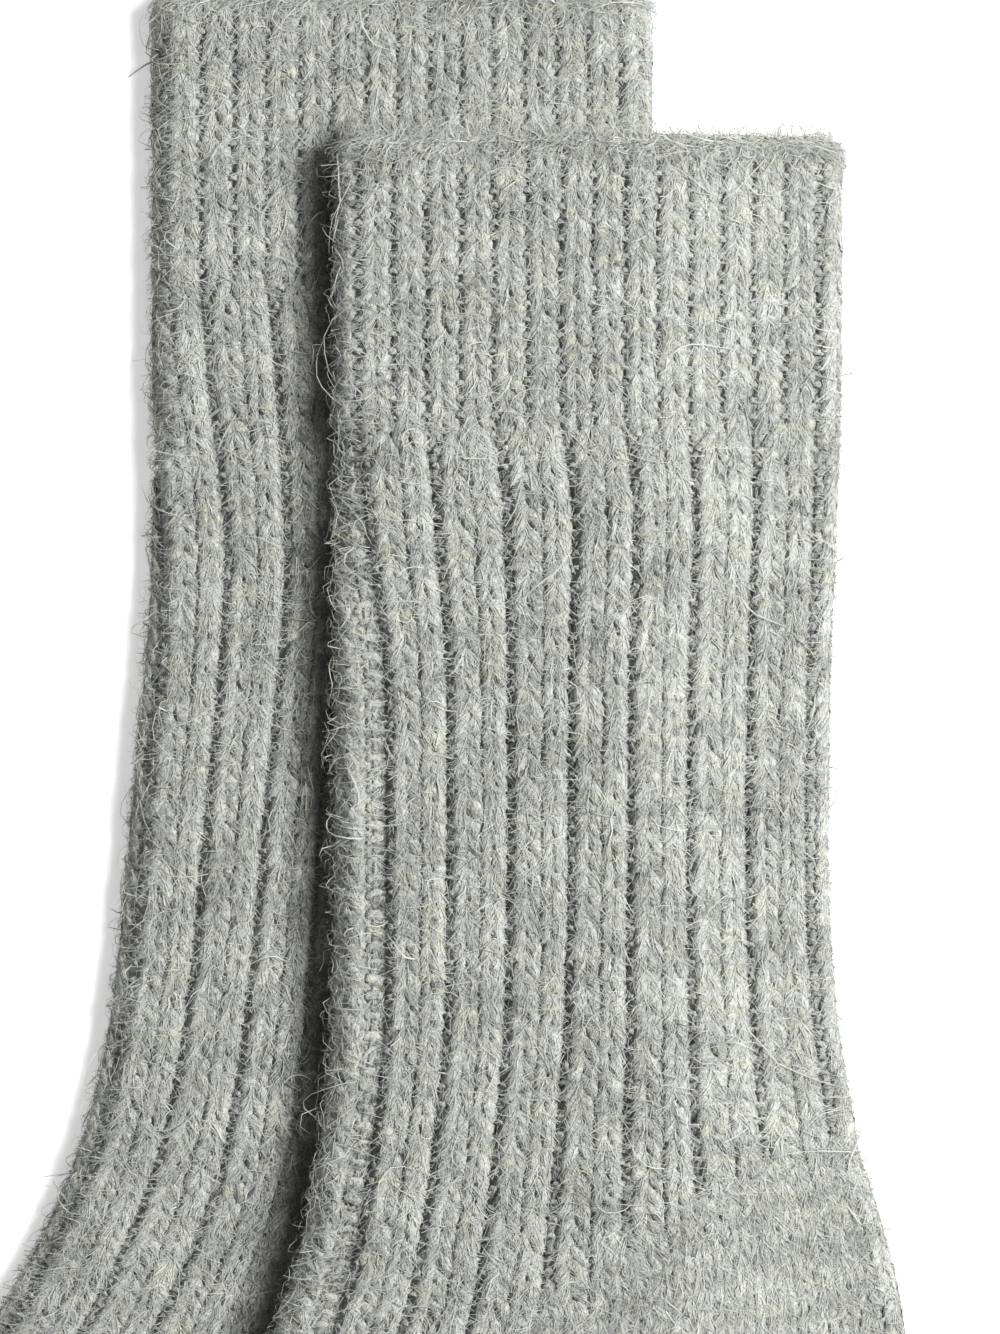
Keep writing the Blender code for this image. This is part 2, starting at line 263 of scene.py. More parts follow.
def footprint(placing):
    """The sock's outline on the surface, as a closed ring of points."""
    section = section_at(np.linspace(0.0, TOE_TIP, OUTLINE_STEPS))
    front = np.stack(on_bed(section, 0.0, placing), axis=1)
    back = np.stack(on_bed(section, section.width, placing), axis=1)
    return np.concatenate([front, back[::-1]])


def distance_outside(points, ring):
    """How far points lie outside a closed ring: negative inside it."""
    start = ring
    step = np.roll(ring, -1, axis=0) - start
    offset = points[:, None, :] - start[None, :, :]
    along = np.clip((offset * step).sum(axis=2) / (step ** 2).sum(axis=1), 0.0, 1.0)
    gap = np.linalg.norm(offset - along[:, :, None] * step, axis=2).min(axis=1)
    x, y = points[:, 0, None], points[:, 1, None]
    x0, y0 = start[:, 0], start[:, 1]
    x1, y1 = x0 + step[:, 0], y0 + step[:, 1]
    rises = np.where(y1 == y0, 1.0, y1 - y0)
    crosses = ((y0 > y) != (y1 > y)) & (x < x0 + (y - y0) * (x1 - x0) / rises)
    inside = crosses.sum(axis=1) % 2 == 1
    return np.where(inside, -gap, gap)


class Distances:
    """The distance outside one sock's outline, worked out once on a grid over the bed.

    It is worked out in parts, which saves memory, and then read between the grid's points."""

    STEP = 1.25
    LOW = (-190.0, -380.0)
    HIGH = (75.0, 50.0)
    PARTS = 24
    LAST = 1.001

    def __init__(self, placing):
        self.xs = np.arange(self.LOW[0], self.HIGH[0], self.STEP)
        self.ys = np.arange(self.LOW[1], self.HIGH[1], self.STEP)
        grid = np.stack(np.meshgrid(self.xs, self.ys, indexing="ij"), axis=-1).reshape(-1, 2)
        ring = footprint(placing)
        parts = [distance_outside(part, ring) for part in np.array_split(grid, self.PARTS)]
        self.values = np.concatenate(parts).reshape(len(self.xs), len(self.ys))

    def __call__(self, x, y):
        across = np.clip((x - self.xs[0]) / self.STEP, 0, len(self.xs) - self.LAST)
        up = np.clip((y - self.ys[0]) / self.STEP, 0, len(self.ys) - self.LAST)
        i, j = across.astype(int), up.astype(int)
        a, b = across - i, up - j
        low = self.values[i, j] * (1 - a) + self.values[i + 1, j] * a
        high = self.values[i, j + 1] * (1 - a) + self.values[i + 1, j + 1] * a
        return low * (1 - b) + high * b


OUTSIDE_BACK = Distances(BACK)
OUTSIDE_FRONT = Distances(FRONT)


def drape(x, y, placing):
    """The height that the sock below gives each point of the one on top."""
    if placing.over is None:
        return np.zeros_like(x)
    return DRAPE_HEIGHT * (1.0 - ease((OUTSIDE_BACK(x, y) + DRAPE_INSET) / DRAPE_REACH))


def tube_at(placing, ribs, down):
    """The section, how far its tube is set in, the tube's width and height, and its outline's points."""
    section = section_at(down)
    inset = edge_inset(down, placing)
    width = section.width - 2 * inset
    height = FLAT_HEIGHT * section.height
    return section, inset, width, height, outline(arc_at(ribs, section, inset, width, height), width, height)


TIP_MARGIN = 0.01


def on_sock(placing, ribs, down, rise, lift=0.0):
    """Points on a sock's outside, at rib counts round it and distances down it.

    They stand out from the tube's base by rise, which fades under the folds as the ribs do, and by lift,
    which doesn't."""
    ribs, down = np.broadcast_arrays(ribs, down)
    down = np.clip(down, 0.0, TOE_TIP - TIP_MARGIN)
    section, inset, _, height, (across, up, out, rise_share) = tube_at(placing, ribs, down)
    stand = section.height * np.clip(up / (FADE_SHARE * height), 0.0, 1.0) * rise + lift
    x, y = on_bed(section, inset + across + stand * out, placing)
    z = up + stand * np.clip(rise_share, 0.0, 1.0) + drape(x, y, placing)
    return np.stack([x, y, z], axis=-1)


# --------------------------------------------------------------------------------------------------
# The knit: 64 columns round the sock, four to a wide rib, and rows down it.

COLUMNS_A_RIB = 4
COLUMNS_ROUND = COLUMNS_A_RIB * RIBS_ROUND
CUFF_ROWS = 18
CUFF_PITCH = CUFF_END / CUFF_ROWS
LEG_PITCH = 2.87
HEEL_PITCH = 2.0
TOE_PITCH = 2.25

# Which of a wide rib's four columns are knit. The others are purl.
CUFF_KNIT = (1, 3)
LEG_KNIT = (2, 3)

# Where a wide rib's four columns lie, in ribs, half the width of each one's stitches, and how much each of
# them stands out in the leg. The places move over from the cuff's to the leg's, and on to the plain knit's.
CUFF_PLACES = np.array([0.0, 0.25, 0.5, 0.75])
LEG_PLACES = np.array([-0.045, 0.045, 0.335, 0.755])
PLAIN_PLACES = np.array([0.0, 0.25, 0.5, 0.75])
CUFF_HALVES = np.array([0.212, 0.212, 0.212, 0.212])
LEG_HALVES = np.array([0.200, 0.200, 0.255, 0.178])
LEG_RISES = np.array([0.0, 0.0, -0.06, 0.08])
PLAIN_HALF = 0.130
SHIFT_LENGTH = 3.0
PLAIN_SHIFT = 9.0

# How square the ribs are, and how deep the troughs between them go, as a share of a rib's rise.
RIB_SQUARE = 6
CUFF_HOLLOW = 0.27
LEG_HOLLOW = 0.80

# The front sock's column beside its fold shows as a sunken ladder of purl bars: which column, where it
# starts and how wide its edge is, in ribs, and how deep it lies.
LADDER_COLUMN = 3
LADDER_FROM = 0.54
LADDER_EDGE = 0.14
LADDER_DROP = 0.9


def plain_from(ribs):
    """Where the ribs end and plain knit starts: on the heel's slanting line, or at the toe."""
    line = HEEL_LINE_TOP + HEEL_LINE_FALL * np.abs(ribs - HEEL_CENTRE) ** HEEL_LINE_POWER
    in_heel = (ribs >= HEEL_RIBS[0]) & (ribs <= HEEL_RIBS[1])
    return np.where(in_heel, line, TOE_START), np.where(in_heel, HEEL_PITCH, TOE_PITCH)


def row_down(row, column):
    """How far down the sock a row of a column is: rows are closer in plain knit."""
    end, pitch = plain_from(column / COLUMNS_A_RIB)
    cuff = row * CUFF_PITCH
    knit = CUFF_END + (row - CUFF_ROWS) * LEG_PITCH
    plain = end + (knit - end) * pitch / LEG_PITCH
    return np.where(row < CUFF_ROWS, cuff, np.where(knit < end, knit, plain))


def down_row(down, ribs):
    """The row at a distance down the sock: row_down turned round."""
    end, pitch = plain_from(ribs)
    knit = np.where(down < end, down, end + (down - end) * LEG_PITCH / pitch)
    return np.where(down < CUFF_END, down / CUFF_PITCH, CUFF_ROWS + (knit - CUFF_END) / LEG_PITCH)


def shares(down, end):
    """How much of a place down the sock is leg rather than cuff, and plain rather than ribbed."""
    leg = np.where(down > CUFF_END, 1.0 - np.exp(-np.maximum(down - CUFF_END, 0.0) / SHIFT_LENGTH), 0.0)
    return leg, ease((down - end) / PLAIN_SHIFT)


def column_place(column, down):
    """The middle of a column and half its width, in ribs, at distances down the sock."""
    end, _ = plain_from(column / COLUMNS_A_RIB)
    leg, plain = shares(down, end)
    kind = column % COLUMNS_A_RIB
    place = CUFF_PLACES[kind] + (LEG_PLACES - CUFF_PLACES)[kind] * leg
    place = place + (PLAIN_PLACES[kind] - place) * plain
    half = CUFF_HALVES[kind] + (LEG_HALVES - CUFF_HALVES)[kind] * leg
    half = half + (PLAIN_HALF - half) * plain
    return column // COLUMNS_A_RIB + place, half


def knit_bed(placing, ribs, down):
    """How far the knit's bed stands out from the tube's base, at counts of the pattern round the tube."""
    ribs = ribs % RIBS_ROUND
    cuff = 1.0 - CUFF_HOLLOW * np.abs(2.0 * ((2.0 * ribs) % 1.0) - 1.0) ** RIB_SQUARE
    leg = 1.0 - LEG_HOLLOW * np.abs(2.0 * (ribs % 1.0) - 1.0) ** RIB_SQUARE
    change = ease((down - CUFF_END) / RIB_CHANGE + 0.5)
    end, _ = plain_from(ribs)
    plain = ease((down - end) / PLAIN_CHANGE + 0.5)
    if placing.over is not None:
        ladder = np.where(ribs < 1.0, ease((ribs - LADDER_FROM) / LADDER_EDGE), 0.0)
        leg = np.maximum(leg - ladder * LADDER_DROP / RIB_RISE, 0.0)
    return RIB_RISE * (cuff * (1 - change) + leg * change) * (1 - plain) + PLAIN_RISE * plain


def bed_points(placing, pattern, down, lower=0.0):
    """Points on a sock's knit bed, at counts of its own pattern, which turns with the sock."""
    rise = knit_bed(placing, pattern, down) - lower
    return on_sock(placing, pattern - placing.rib_turn, down, rise)


NO_LENGTH = 1e-9


def unit(vectors):
    return vectors / np.maximum(np.linalg.norm(vectors, axis=-1, keepdims=True), NO_LENGTH)


def bed_frame(placing, pattern, down, lower=0.0):
    """Points on the bed, the outward direction there, and how many millimetres a rib measures."""
    half_rib, half_step = 0.05, 0.8
    here = bed_points(placing, pattern, down, lower)
    side = bed_points(placing, pattern + half_rib, down) - bed_points(placing, pattern - half_rib, down)
    along = bed_points(placing, pattern, down + half_step) - bed_points(placing, pattern, down - half_step)
    return here, unit(np.cross(along, side)), np.linalg.norm(side, axis=-1) / (2 * half_rib)


# --------------------------------------------------------------------------------------------------
# Beside the upper sock's fold little light gets in, and shade is painted on the lower sock there: how
# far from the fold the shade reaches, over what distance it fades, how strong it is, and how far below
# the mouth it is full.

CREASE_REACH = 9.4
CREASE_FADE = 3.4
CREASE_SHADE = 0.44
CREASE_TOP = 10.0


def crease_shade(placing, points):
    """The shade painted on the lower sock beside the upper one's fold: by point."""
    shade = np.zeros(len(points))
    if placing.over is None:
        outside = OUTSIDE_FRONT(points[:, 0], points[:, 1])
        shade = CREASE_SHADE * ease((CREASE_REACH - outside) / CREASE_FADE) * ease(-points[:, 1] / CREASE_TOP)
    return shade


# --------------------------------------------------------------------------------------------------
# Meshes from arrays of points.

def add_piece(name, placing, points, faces, material, places, depth=0.0, **attributes):
    """A mesh object in metres from points in millimetres, which rides on the root and is wool.

    Its attributes are the points' places in the knit, as column and row, with the sock's own number, the
    shade painted on them as darker colour, and whatever else is given."""
    own_number = np.full((len(points), 1), placing.seed)
    attributes["place"] = np.concatenate([places.reshape(-1, 2), own_number], axis=1)
    # Shade painted into the colour: what is given, plus the painted crease shade beside the upper sock's
    # fold.
    attributes["depth"] = np.repeat((depth + crease_shade(placing, points))[:, None], 3, axis=1)
    shift = np.array([BED_CENTRE[0], BED_CENTRE[1], 0.0])
    mesh = bpy.data.meshes.new(name)
    mesh.from_pydata(((points - shift) * MM).tolist(), [], faces)
    for label, values in attributes.items():
        layer = mesh.attributes.new(label, "FLOAT_VECTOR", "POINT")
        layer.data.foreach_set("vector", np.ascontiguousarray(values, dtype=np.float32).ravel())
    mesh.materials.append(material)
    mesh.shade_smooth()
    piece = bpy.data.objects.new(name, mesh)
    bpy.context.scene.collection.objects.link(piece)
    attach(piece, "root")
    return piece


def tangents(paths):
    return unit(np.gradient(paths, axis=1))


def tube_mesh(paths, normals, widths, thicks, sides):
    """Closed tubes round many paths at once, flattened along their normals.

    Returns the points, the faces, and each point's place round its tube, from a seam on its underside."""
    count, stations = paths.shape[:2]
    along = tangents(paths)
    side = unit(np.cross(along, normals))
    up = np.cross(side, along)
    angle = 2 * math.pi * (np.arange(sides) + 0.5) / sides - 0.5 * math.pi
    points = (paths[:, :, None, :]
              + (widths[..., None] * np.cos(angle))[..., None] * side[:, :, None, :]
              + (thicks[..., None] * np.sin(angle))[..., None] * up[:, :, None, :])
    index = np.arange(count * stations * sides).reshape(count, stations, sides)
    turned = np.roll(index, -1, axis=2)
    quads = np.stack([index[:, :-1], index[:, 1:], turned[:, 1:], turned[:, :-1]], axis=-1).reshape(-1, 4)
    caps = np.concatenate([index[:, 0], index[:, -1, ::-1]])
    around = np.broadcast_to((np.arange(sides) + 0.5) / sides, index.shape)
    return points.reshape(-1, 3), quads.tolist() + caps.tolist(), around.reshape(-1)


def ribbon_mesh(paths, normals, widths):
    """Flat tapering ribbons along many paths at once, facing along their normals."""
    count, stations = paths.shape[:2]
    side = unit(np.cross(tangents(paths), normals)) * widths[..., None]
    points = np.stack([paths - side, paths + side], axis=2)
    index = np.arange(count * stations * 2).reshape(count, stations, 2)
    quads = np.stack([index[:, :-1, 0], index[:, 1:, 0], index[:, 1:, 1], index[:, :-1, 1]], axis=-1)
    return points.reshape(-1, 3), quads.reshape(-1, 4)[:, ::-1].tolist()


def path_lengths(paths):
    """How far along its path each point is."""
    steps = np.linalg.norm(np.diff(paths, axis=1), axis=-1)
    return np.concatenate([np.zeros((len(paths), 1)), np.cumsum(steps, axis=1)], axis=1)


# --------------------------------------------------------------------------------------------------
# Shader recipes: an expression on values adds its Math nodes.

class Value:
    """A socket's value in a recipe, with the operators that the recipes use."""

    def __init__(self, recipe, socket):
        self.recipe = recipe
        self.socket = socket

    def math(self, operation, *others):
        values = dict(enumerate((self,) + others))
        return self.recipe.node("ShaderNodeMath", {"operation": operation}, values)

    def __add__(self, other):
        return self.math("ADD", other)

    def __sub__(self, other):
        return self.math("SUBTRACT", other)

    def __mul__(self, other):
        return self.math("MULTIPLY", other)

    def __radd__(self, other):
        return self + other

    def __rmul__(self, other):
        return self * other

    def __rsub__(self, other):
        return self.recipe.node("ShaderNodeMath", {"operation": "SUBTRACT"}, {0: other, 1: self})

    def clipped(self):
        return self.recipe.node("ShaderNodeClamp", {}, {"Value": self, "Min": 0.0, "Max": 1.0})


class Recipe:
    """A material's node tree, built up a node at a time."""

    def __init__(self, name):
        self.material = bpy.data.materials.new(name)
        self.material.use_nodes = True
        self.tree = self.material.node_tree
        self.shader = self.tree.nodes["Principled BSDF"]

    def put(self, target, value):
        if isinstance(value, Value):
            self.tree.links.new(value.socket, target)
        else:
            target.default_value = value

    def node(self, kind, settings, values, output=0):
        """Adds a node: first its settings, then its sockets' values or links. Returns one of its outputs."""
        made = self.tree.nodes.new(kind)
        for key, setting in settings.items():
            if key == "stops":
                for stop, (place, colour) in enumerate(setting):
                    elements = made.color_ramp.elements
                    element = elements[stop] if stop < len(elements) else elements.new(place)
                    element.position = place
                    element.color = colour
            else:
                setattr(made, key, setting)
        for key, value in values.items():
            self.put(made.inputs[key], value)
        return Value(self, made.outputs[output])

    def surface(self, **values):
        """Sets or links the shader's sockets, which are named here with _ for a space."""
        for key, value in values.items():
            self.put(self.shader.inputs[key.replace("_", " ")], value)

    def attribute(self, name):
        return self.node("ShaderNodeAttribute", {"attribute_name": name}, {}, "Vector")

    def scaled(self, vector, scale, shift=(0.0, 0.0, 0.0)):
        values = {0: vector, 1: scale, 2: shift}
        return self.node("ShaderNodeVectorMath", {"operation": "MULTIPLY_ADD"}, values)

    def part(self, vector, axis):
        return self.node("ShaderNodeSeparateXYZ", {}, {0: vector}, axis)

    def vector(self, x, y, z):
        return self.node("ShaderNodeCombineXYZ", {}, {0: x, 1: y, 2: z})

    def turned(self, vector, angle, scale):
        """A vector turned about Z, then scaled."""
        shrink = tuple(1.0 / part for part in scale)
        values = {"Vector": vector, "Rotation": (0.0, 0.0, angle), "Scale": shrink}
        return self.node("ShaderNodeMapping", {"vector_type": "TEXTURE"}, values)

    def noise(self, vector, scale=1.0, detail=1.0, roughness=0.5, output=0):
        settings = {"noise_dimensions": "3D"}
        values = {"Vector": vector, "Scale": scale, "Detail": detail, "Roughness": roughness}
        return self.node("ShaderNodeTexNoise", settings, values, output)

    def mix(self, share, first, second):
        return self.node("ShaderNodeMix", {"data_type": "RGBA"}, {0: share, 6: first, 7: second}, 2)

    def bump(self, height, distance, strength=1.0):
        return self.node("ShaderNodeBump", {}, {"Strength": strength, "Distance": distance, "Height": height})


# Wool's tones, dark to light, as linear colours, and the two tints that the tones lean to.
DARK_WOOL = (0.080, 0.083, 0.072, 1.0)
MIDDLE_WOOL = (0.250, 0.259, 0.238, 1.0)
LIGHT_WOOL = (0.425, 0.436, 0.401, 1.0)
CREAM = (0.460, 0.452, 0.345, 1.0)
COOL = (0.320, 0.360, 0.350, 1.0)

# The melange's two noises: patches that follow the rows, and stitches that differ. Their scales are for a
# column and a row, and the shares say how far each moves the tone, as each stitch's own number does too.
PATCH_SCALE = (0.16, 0.34, 1.0)
PATCH_SHARE = 1.05
STITCH_SCALE = (0.42, 2.9, 1.0)
STITCH_SHIFT = (7.3, 1.1, 3.0)
STITCH_SHARE = 0.78
OWN_SHARE = 0.30

# The tints lie in patches of their own: above the first level cream, below the second cool.
TINT_SCALE = (0.50, 1.7, 1.0)
TINT_SHIFT = (31.0, 5.0, 9.0)
TINT_SLOPE = 5.0
CREAM_LEVEL = 0.54
CREAM_SHARE = 0.55
COOL_LEVEL = 0.45
COOL_SHARE = 0.40
MIDDLE_TONE = 0.45


def melange(recipe, place, own):
    """How the yarn's tone differs from stitch to stitch, about 0."""
    patch = recipe.noise(recipe.scaled(place, PATCH_SCALE), detail=2.0, roughness=0.55)
    stitch = recipe.noise(recipe.scaled(place, STITCH_SCALE, STITCH_SHIFT))
    return (patch - 0.5) * PATCH_SHARE + (stitch - 0.5) * STITCH_SHARE + (own - 0.5) * OWN_SHARE


def wool_colour(recipe, tone, place, streak):
    """Tone, from 0 to 1, to colour, with cream and cool tints in patches of their own."""
    stops = [(0.0, DARK_WOOL), (MIDDLE_TONE, MIDDLE_WOOL), (1.0, LIGHT_WOOL)]
    base = recipe.node("ShaderNodeValToRGB", {"stops": stops}, {"Fac": (tone + streak).clipped()})
    tint = recipe.noise(recipe.scaled(place, TINT_SCALE, TINT_SHIFT), detail=2.0, roughness=0.6)
    warm = ((tint - CREAM_LEVEL) * TINT_SLOPE).clipped() * CREAM_SHARE
    cold = ((COOL_LEVEL - tint) * TINT_SLOPE).clipped() * COOL_SHARE
    return recipe.mix(cold, recipe.mix(warm, base, CREAM), COOL)


# Loose fibres that lie over the yarn: how often they repeat along, across and through themselves in a metre,
# which ways they run, how far they bend, and the noise's level and slope that make lines of it.
HAZE_REPEATS = (420.0, 3300.0, 1500.0)
HAZE_TURNS = (0.25, 1.05, 1.80, 2.60)
HAZE_BEND = 0.0013
HAZE_BENDS = 330.0
HAZE_LEVEL = 0.52
HAZE_SLOPE = 6.0


def haze(recipe):
    """Where fine loose fibres lie over the knit, crossing in all directions: from 0 to 1."""
    spot = recipe.node("ShaderNodeTexCoord", {}, {}, "Object")
    bend = recipe.noise(spot, scale=HAZE_BENDS, output="Color")
    bent = recipe.scaled(bend, (HAZE_BEND,) * 3, spot)
    layers = []
    for turn in HAZE_TURNS:
        fibres = recipe.noise(recipe.turned(bent, turn, HAZE_REPEATS))
        layers.append(((fibres - HAZE_LEVEL) * HAZE_SLOPE).clipped())
    first = layers[0].math("MAXIMUM", layers[1])
    return first.math("MAXIMUM", layers[2].math("MAXIMUM", layers[3]))


# Pits between the fibres, where shade is painted and the bump dips: how often they come in a metre, and
# the noise's level and slope.
PIT_REPEATS = 1900.0
PIT_LEVEL = 0.44
PIT_SLOPE = 9.0


def pits(recipe):
    """Small gaps between the fibres, where shade is painted, from 0 to 1."""
    spot = recipe.node("ShaderNodeTexCoord", {}, {}, "Object")
    return ((PIT_LEVEL - recipe.noise(spot, scale=PIT_REPEATS)) * PIT_SLOPE).clipped()


def finish_wool(recipe):
    """Wool is rough, with a soft sheen and hardly any gloss."""
    recipe.surface(Roughness=0.92, Sheen_Weight=0.35, Sheen_Roughness=0.55, Sheen_Tint=(1.0, 1.0, 0.98, 1.0))
    recipe.surface(Specular_IOR_Level=0.15)
    return recipe.material


# How a noise winds round a strand: its repeats round it, how far it turns and how often it repeats along a
# millimetre, and how far apart two strands' patterns lie. One is for fibres and one for finer marks.
Wind = namedtuple("Wind", "around twist along own")
FIBRE_WIND = Wind(17.0, 0.55, 0.50, 41.0)
FINE_WIND = Wind(44.0, 1.3, 1.1, 17.0)

# How strongly each mark changes the tone, and how much of the relief it makes; the pits darken the tone as
# painted shade. On the cloth the fine marks are its stitches.
Marks = namedtuple("Marks", "fibres fine haze pits")
YARN_STREAKS = Marks(1.20, 0.75, 0.40, 0.24)
YARN_HEIGHTS = Marks(0.6, 0.4, 0.35, 0.5)
CLOTH_STREAKS = Marks(0.7, 0.35, 0.5, 0.0)
CLOTH_HEIGHTS = Marks(0.5, 1.0, 0.4, 0.0)

# The haze's level that leaves the tone as it is.
HAZE_MIDDLE = 0.35

# Each material's tone in the middle of the melange. The cloth's, seen in the gaps between the strands, is a
# little lower than the yarn's: painted shade.
YARN_TONE = 0.56
CLOTH_TONE = 0.52
FUZZ_TONE = 0.71

# Shade is painted on a strand's sides, which are darker than its top.
SIDE_FROM = 0.08
SIDE_SLOPE = 3.0
SIDE_SHADE = 0.20

# The cloth's fibres and stitches, and how the fuzz follows the melange, its own number and painted shade.
CLOTH_REPEATS = (6.0, 9.0, 1.0)
STITCH_SLANT = 1.1
STITCH_EDGE = 6.0
STITCH_MIDDLE = 0.6
FUZZ_MELANGE = 0.8
FUZZ_STREAK = 0.36
FUZZ_SHADE = 1.2

YARN_RELIEF = 0.00034
CLOTH_RELIEF = 0.0006
RELIEF_STRENGTH = 0.9


def wound(recipe, around, along, own, wind):
    """Where to read a noise that winds round a strand."""
    return recipe.vector(around * wind.around + along * wind.twist, along * wind.along, own * wind.own)


def strand_material():
    """Yarn: fine fibres that wind slowly round each strand, over the melange."""
    recipe = Recipe("wool_yarn")
    place = recipe.attribute("place")
    yarn = recipe.attribute("yarn")
    around, along, own = (recipe.part(yarn, axis) for axis in range(3))
    fibres = recipe.noise(wound(recipe, around, along, own, FIBRE_WIND), detail=3.0, roughness=0.65)
    fine = recipe.noise(wound(recipe, around, along, own, FINE_WIND), detail=2.0, roughness=0.6)
    loose = haze(recipe)
    dark = pits(recipe)
    depth = recipe.part(recipe.attribute("depth"), 0)
    side = (((around - 0.5).math("ABSOLUTE") - SIDE_FROM) * SIDE_SLOPE).clipped()
    tone = melange(recipe, place, own) + YARN_TONE
    much = YARN_STREAKS
    streak = (fibres - 0.5) * much.fibres + (fine - 0.5) * much.fine + (loose - HAZE_MIDDLE) * much.haze
    # Shade painted into the colour: in the pits between fibres, on the strand's sides, and the piece's own.
    shade = dark * much.pits + side * SIDE_SHADE + depth
    recipe.surface(Base_Color=wool_colour(recipe, tone, place, streak - shade))
    high = YARN_HEIGHTS
    height = fibres * high.fibres + fine * high.fine + loose * high.haze - dark * high.pits
    recipe.surface(Normal=recipe.bump(height, YARN_RELIEF, RELIEF_STRENGTH))
    return finish_wool(recipe)


def shell_material():
    """The cloth behind the strands, with shade painted where it lies deep, and the knit's rows as a low
    relief.
    """
    recipe = Recipe("wool_cloth")
    place = recipe.attribute("place")
    column, row = recipe.part(place, 0), recipe.part(place, 1)
    depth = recipe.part(recipe.attribute("depth"), 0)
    fibres = recipe.noise(recipe.scaled(place, CLOTH_REPEATS), detail=3.0, roughness=0.6)
    half = (column.math("FRACT") - 0.5).math("ABSOLUTE")
    legs = (row - half * STITCH_SLANT).math("FRACT")
    stitch = (legs * (1.0 - legs) * 4.0) * ((0.5 - half) * STITCH_EDGE).clipped()
    tone = melange(recipe, place, fibres) + CLOTH_TONE
    loose = haze(recipe)
    much = CLOTH_STREAKS
    streak = (fibres - 0.5) * much.fibres + (stitch - STITCH_MIDDLE) * much.fine
    streak = streak + (loose - HAZE_MIDDLE) * much.haze - depth
    recipe.surface(Base_Color=wool_colour(recipe, tone, place, streak))
    high = CLOTH_HEIGHTS
    height = stitch * high.fine + fibres * high.fibres + loose * high.haze
    recipe.surface(Normal=recipe.bump(height, CLOTH_RELIEF, RELIEF_STRENGTH))
    return finish_wool(recipe)


def fuzz_material():
    """Loose fibres: the yarn's tone, most of them light."""
    recipe = Recipe("wool_fuzz")
    place = recipe.attribute("place")
    own = recipe.part(recipe.attribute("yarn"), 2)
    depth = recipe.part(recipe.attribute("depth"), 0)
    tone = melange(recipe, place, own) * FUZZ_MELANGE + FUZZ_TONE
    # Shade painted on the piece darkens these fibres more than it darkens the yarn.
    streak = (own - 0.5) * FUZZ_STREAK - depth * FUZZ_SHADE
    recipe.surface(Base_Color=wool_colour(recipe, tone, place, streak))
    recipe.surface(Roughness=0.85, Sheen_Weight=0.2, Specular_IOR_Level=0.25)
    return recipe.material


# --------------------------------------------------------------------------------------------------
# The camera looks straight down on the part of the pair that the photograph shows: the picture's size in
# pixels, how many of them a millimetre takes, and the pixel of the front sock's mouth.

PICTURE = (1000, 1334)
PIXELS_A_MM = 5.94
PIXEL = 1.0 / PIXELS_A_MM
MOUTH_PIXEL = (590.0, 140.0)
CAMERA_HEIGHT = 1.25
SENSOR = 36.0
VIEW_LEVEL = 7.0
NEAREST = 0.05


def bed_to_frame(x, y, z):
    return Vector(((x - BED_CENTRE[0]) * MM, (y - BED_CENTRE[1]) * MM, z * MM))


VIEW_CENTRE = ((0.5 * PICTURE[0] - MOUTH_PIXEL[0]) * PIXEL, (MOUTH_PIXEL[1] - 0.5 * PICTURE[1]) * PIXEL)
VIEW_SIZE = (PICTURE[0] * PIXEL, PICTURE[1] * PIXEL)


def make_camera():
    data = bpy.data.cameras.new("camera")
    data.sensor_fit = "VERTICAL"
    data.sensor_height = SENSOR
    data.lens = SENSOR * (CAMERA_HEIGHT - VIEW_LEVEL * MM) / (VIEW_SIZE[1] * MM)
    data.clip_start = NEAREST
    camera = bpy.data.objects.new("camera", data)
    camera.location = bed_to_frame(VIEW_CENTRE[0], VIEW_CENTRE[1], CAMERA_HEIGHT / MM)
    bpy.context.scene.collection.objects.link(camera)
    bpy.context.scene.camera = camera


# Lamps are square and white, and point at one place. Sizes and places are in metres, power in watts.
Lamp = namedtuple("Lamp", "name place size power")
LAMPS = (
    Lamp("key", (0.86, 0.28, 0.88), 0.55, 41.5),
    Lamp("fill", (0.15, 0.10, 1.20), 1.00, 2.0),
)
LAMP_TARGET = (0.04, 0.08, 0.0)
WHITE = (1.0, 1.0, 1.0, 1.0)
FLOOR_WHITE = (0.90, 0.90, 0.90, 1.0)
FLOOR_GLOW = 0.45
FLOOR_REACH = 3.0
SKY_LIGHT = 0.150
EXPOSURE = -0.15


def make_lamp(name, place, size, power):
    data = bpy.data.lights.new(name, "AREA")
    data.size = size
    data.energy = power
    lamp = bpy.data.objects.new(name, data)
    lamp.location = place
    lamp.rotation_euler = (Vector(LAMP_TARGET) - Vector(place)).to_track_quat("-Z", "Y").to_euler()
    bpy.context.scene.collection.objects.link(lamp)


def make_floor():
    recipe = Recipe("studio_floor")
    recipe.surface(Base_Color=FLOOR_WHITE, Roughness=0.9, Specular_IOR_Level=0.1)
    recipe.surface(Emission_Color=WHITE, Emission_Strength=FLOOR_GLOW)
    corners = [(x * FLOOR_REACH, y * FLOOR_REACH, 0.0) for x, y in ((-1, -1), (1, -1), (1, 1), (-1, 1))]
    mesh = bpy.data.meshes.new("floor")
    mesh.from_pydata(corners, [], [(0, 1, 2, 3)])
    mesh.materials.append(recipe.material)
    floor = bpy.data.objects.new("floor", mesh)
    bpy.context.scene.collection.objects.link(floor)


def make_studio():
    make_floor()
    for lamp in LAMPS:
        make_lamp(*lamp)
    world = bpy.data.worlds.new("studio")
    world.use_nodes = True
    background = world.node_tree.nodes["Background"]
    background.inputs["Color"].default_value = WHITE
    background.inputs["Strength"].default_value = SKY_LIGHT
    bpy.context.scene.world = world
    bpy.context.scene.view_settings.view_transform = "Standard"
    bpy.context.scene.view_settings.exposure = EXPOSURE
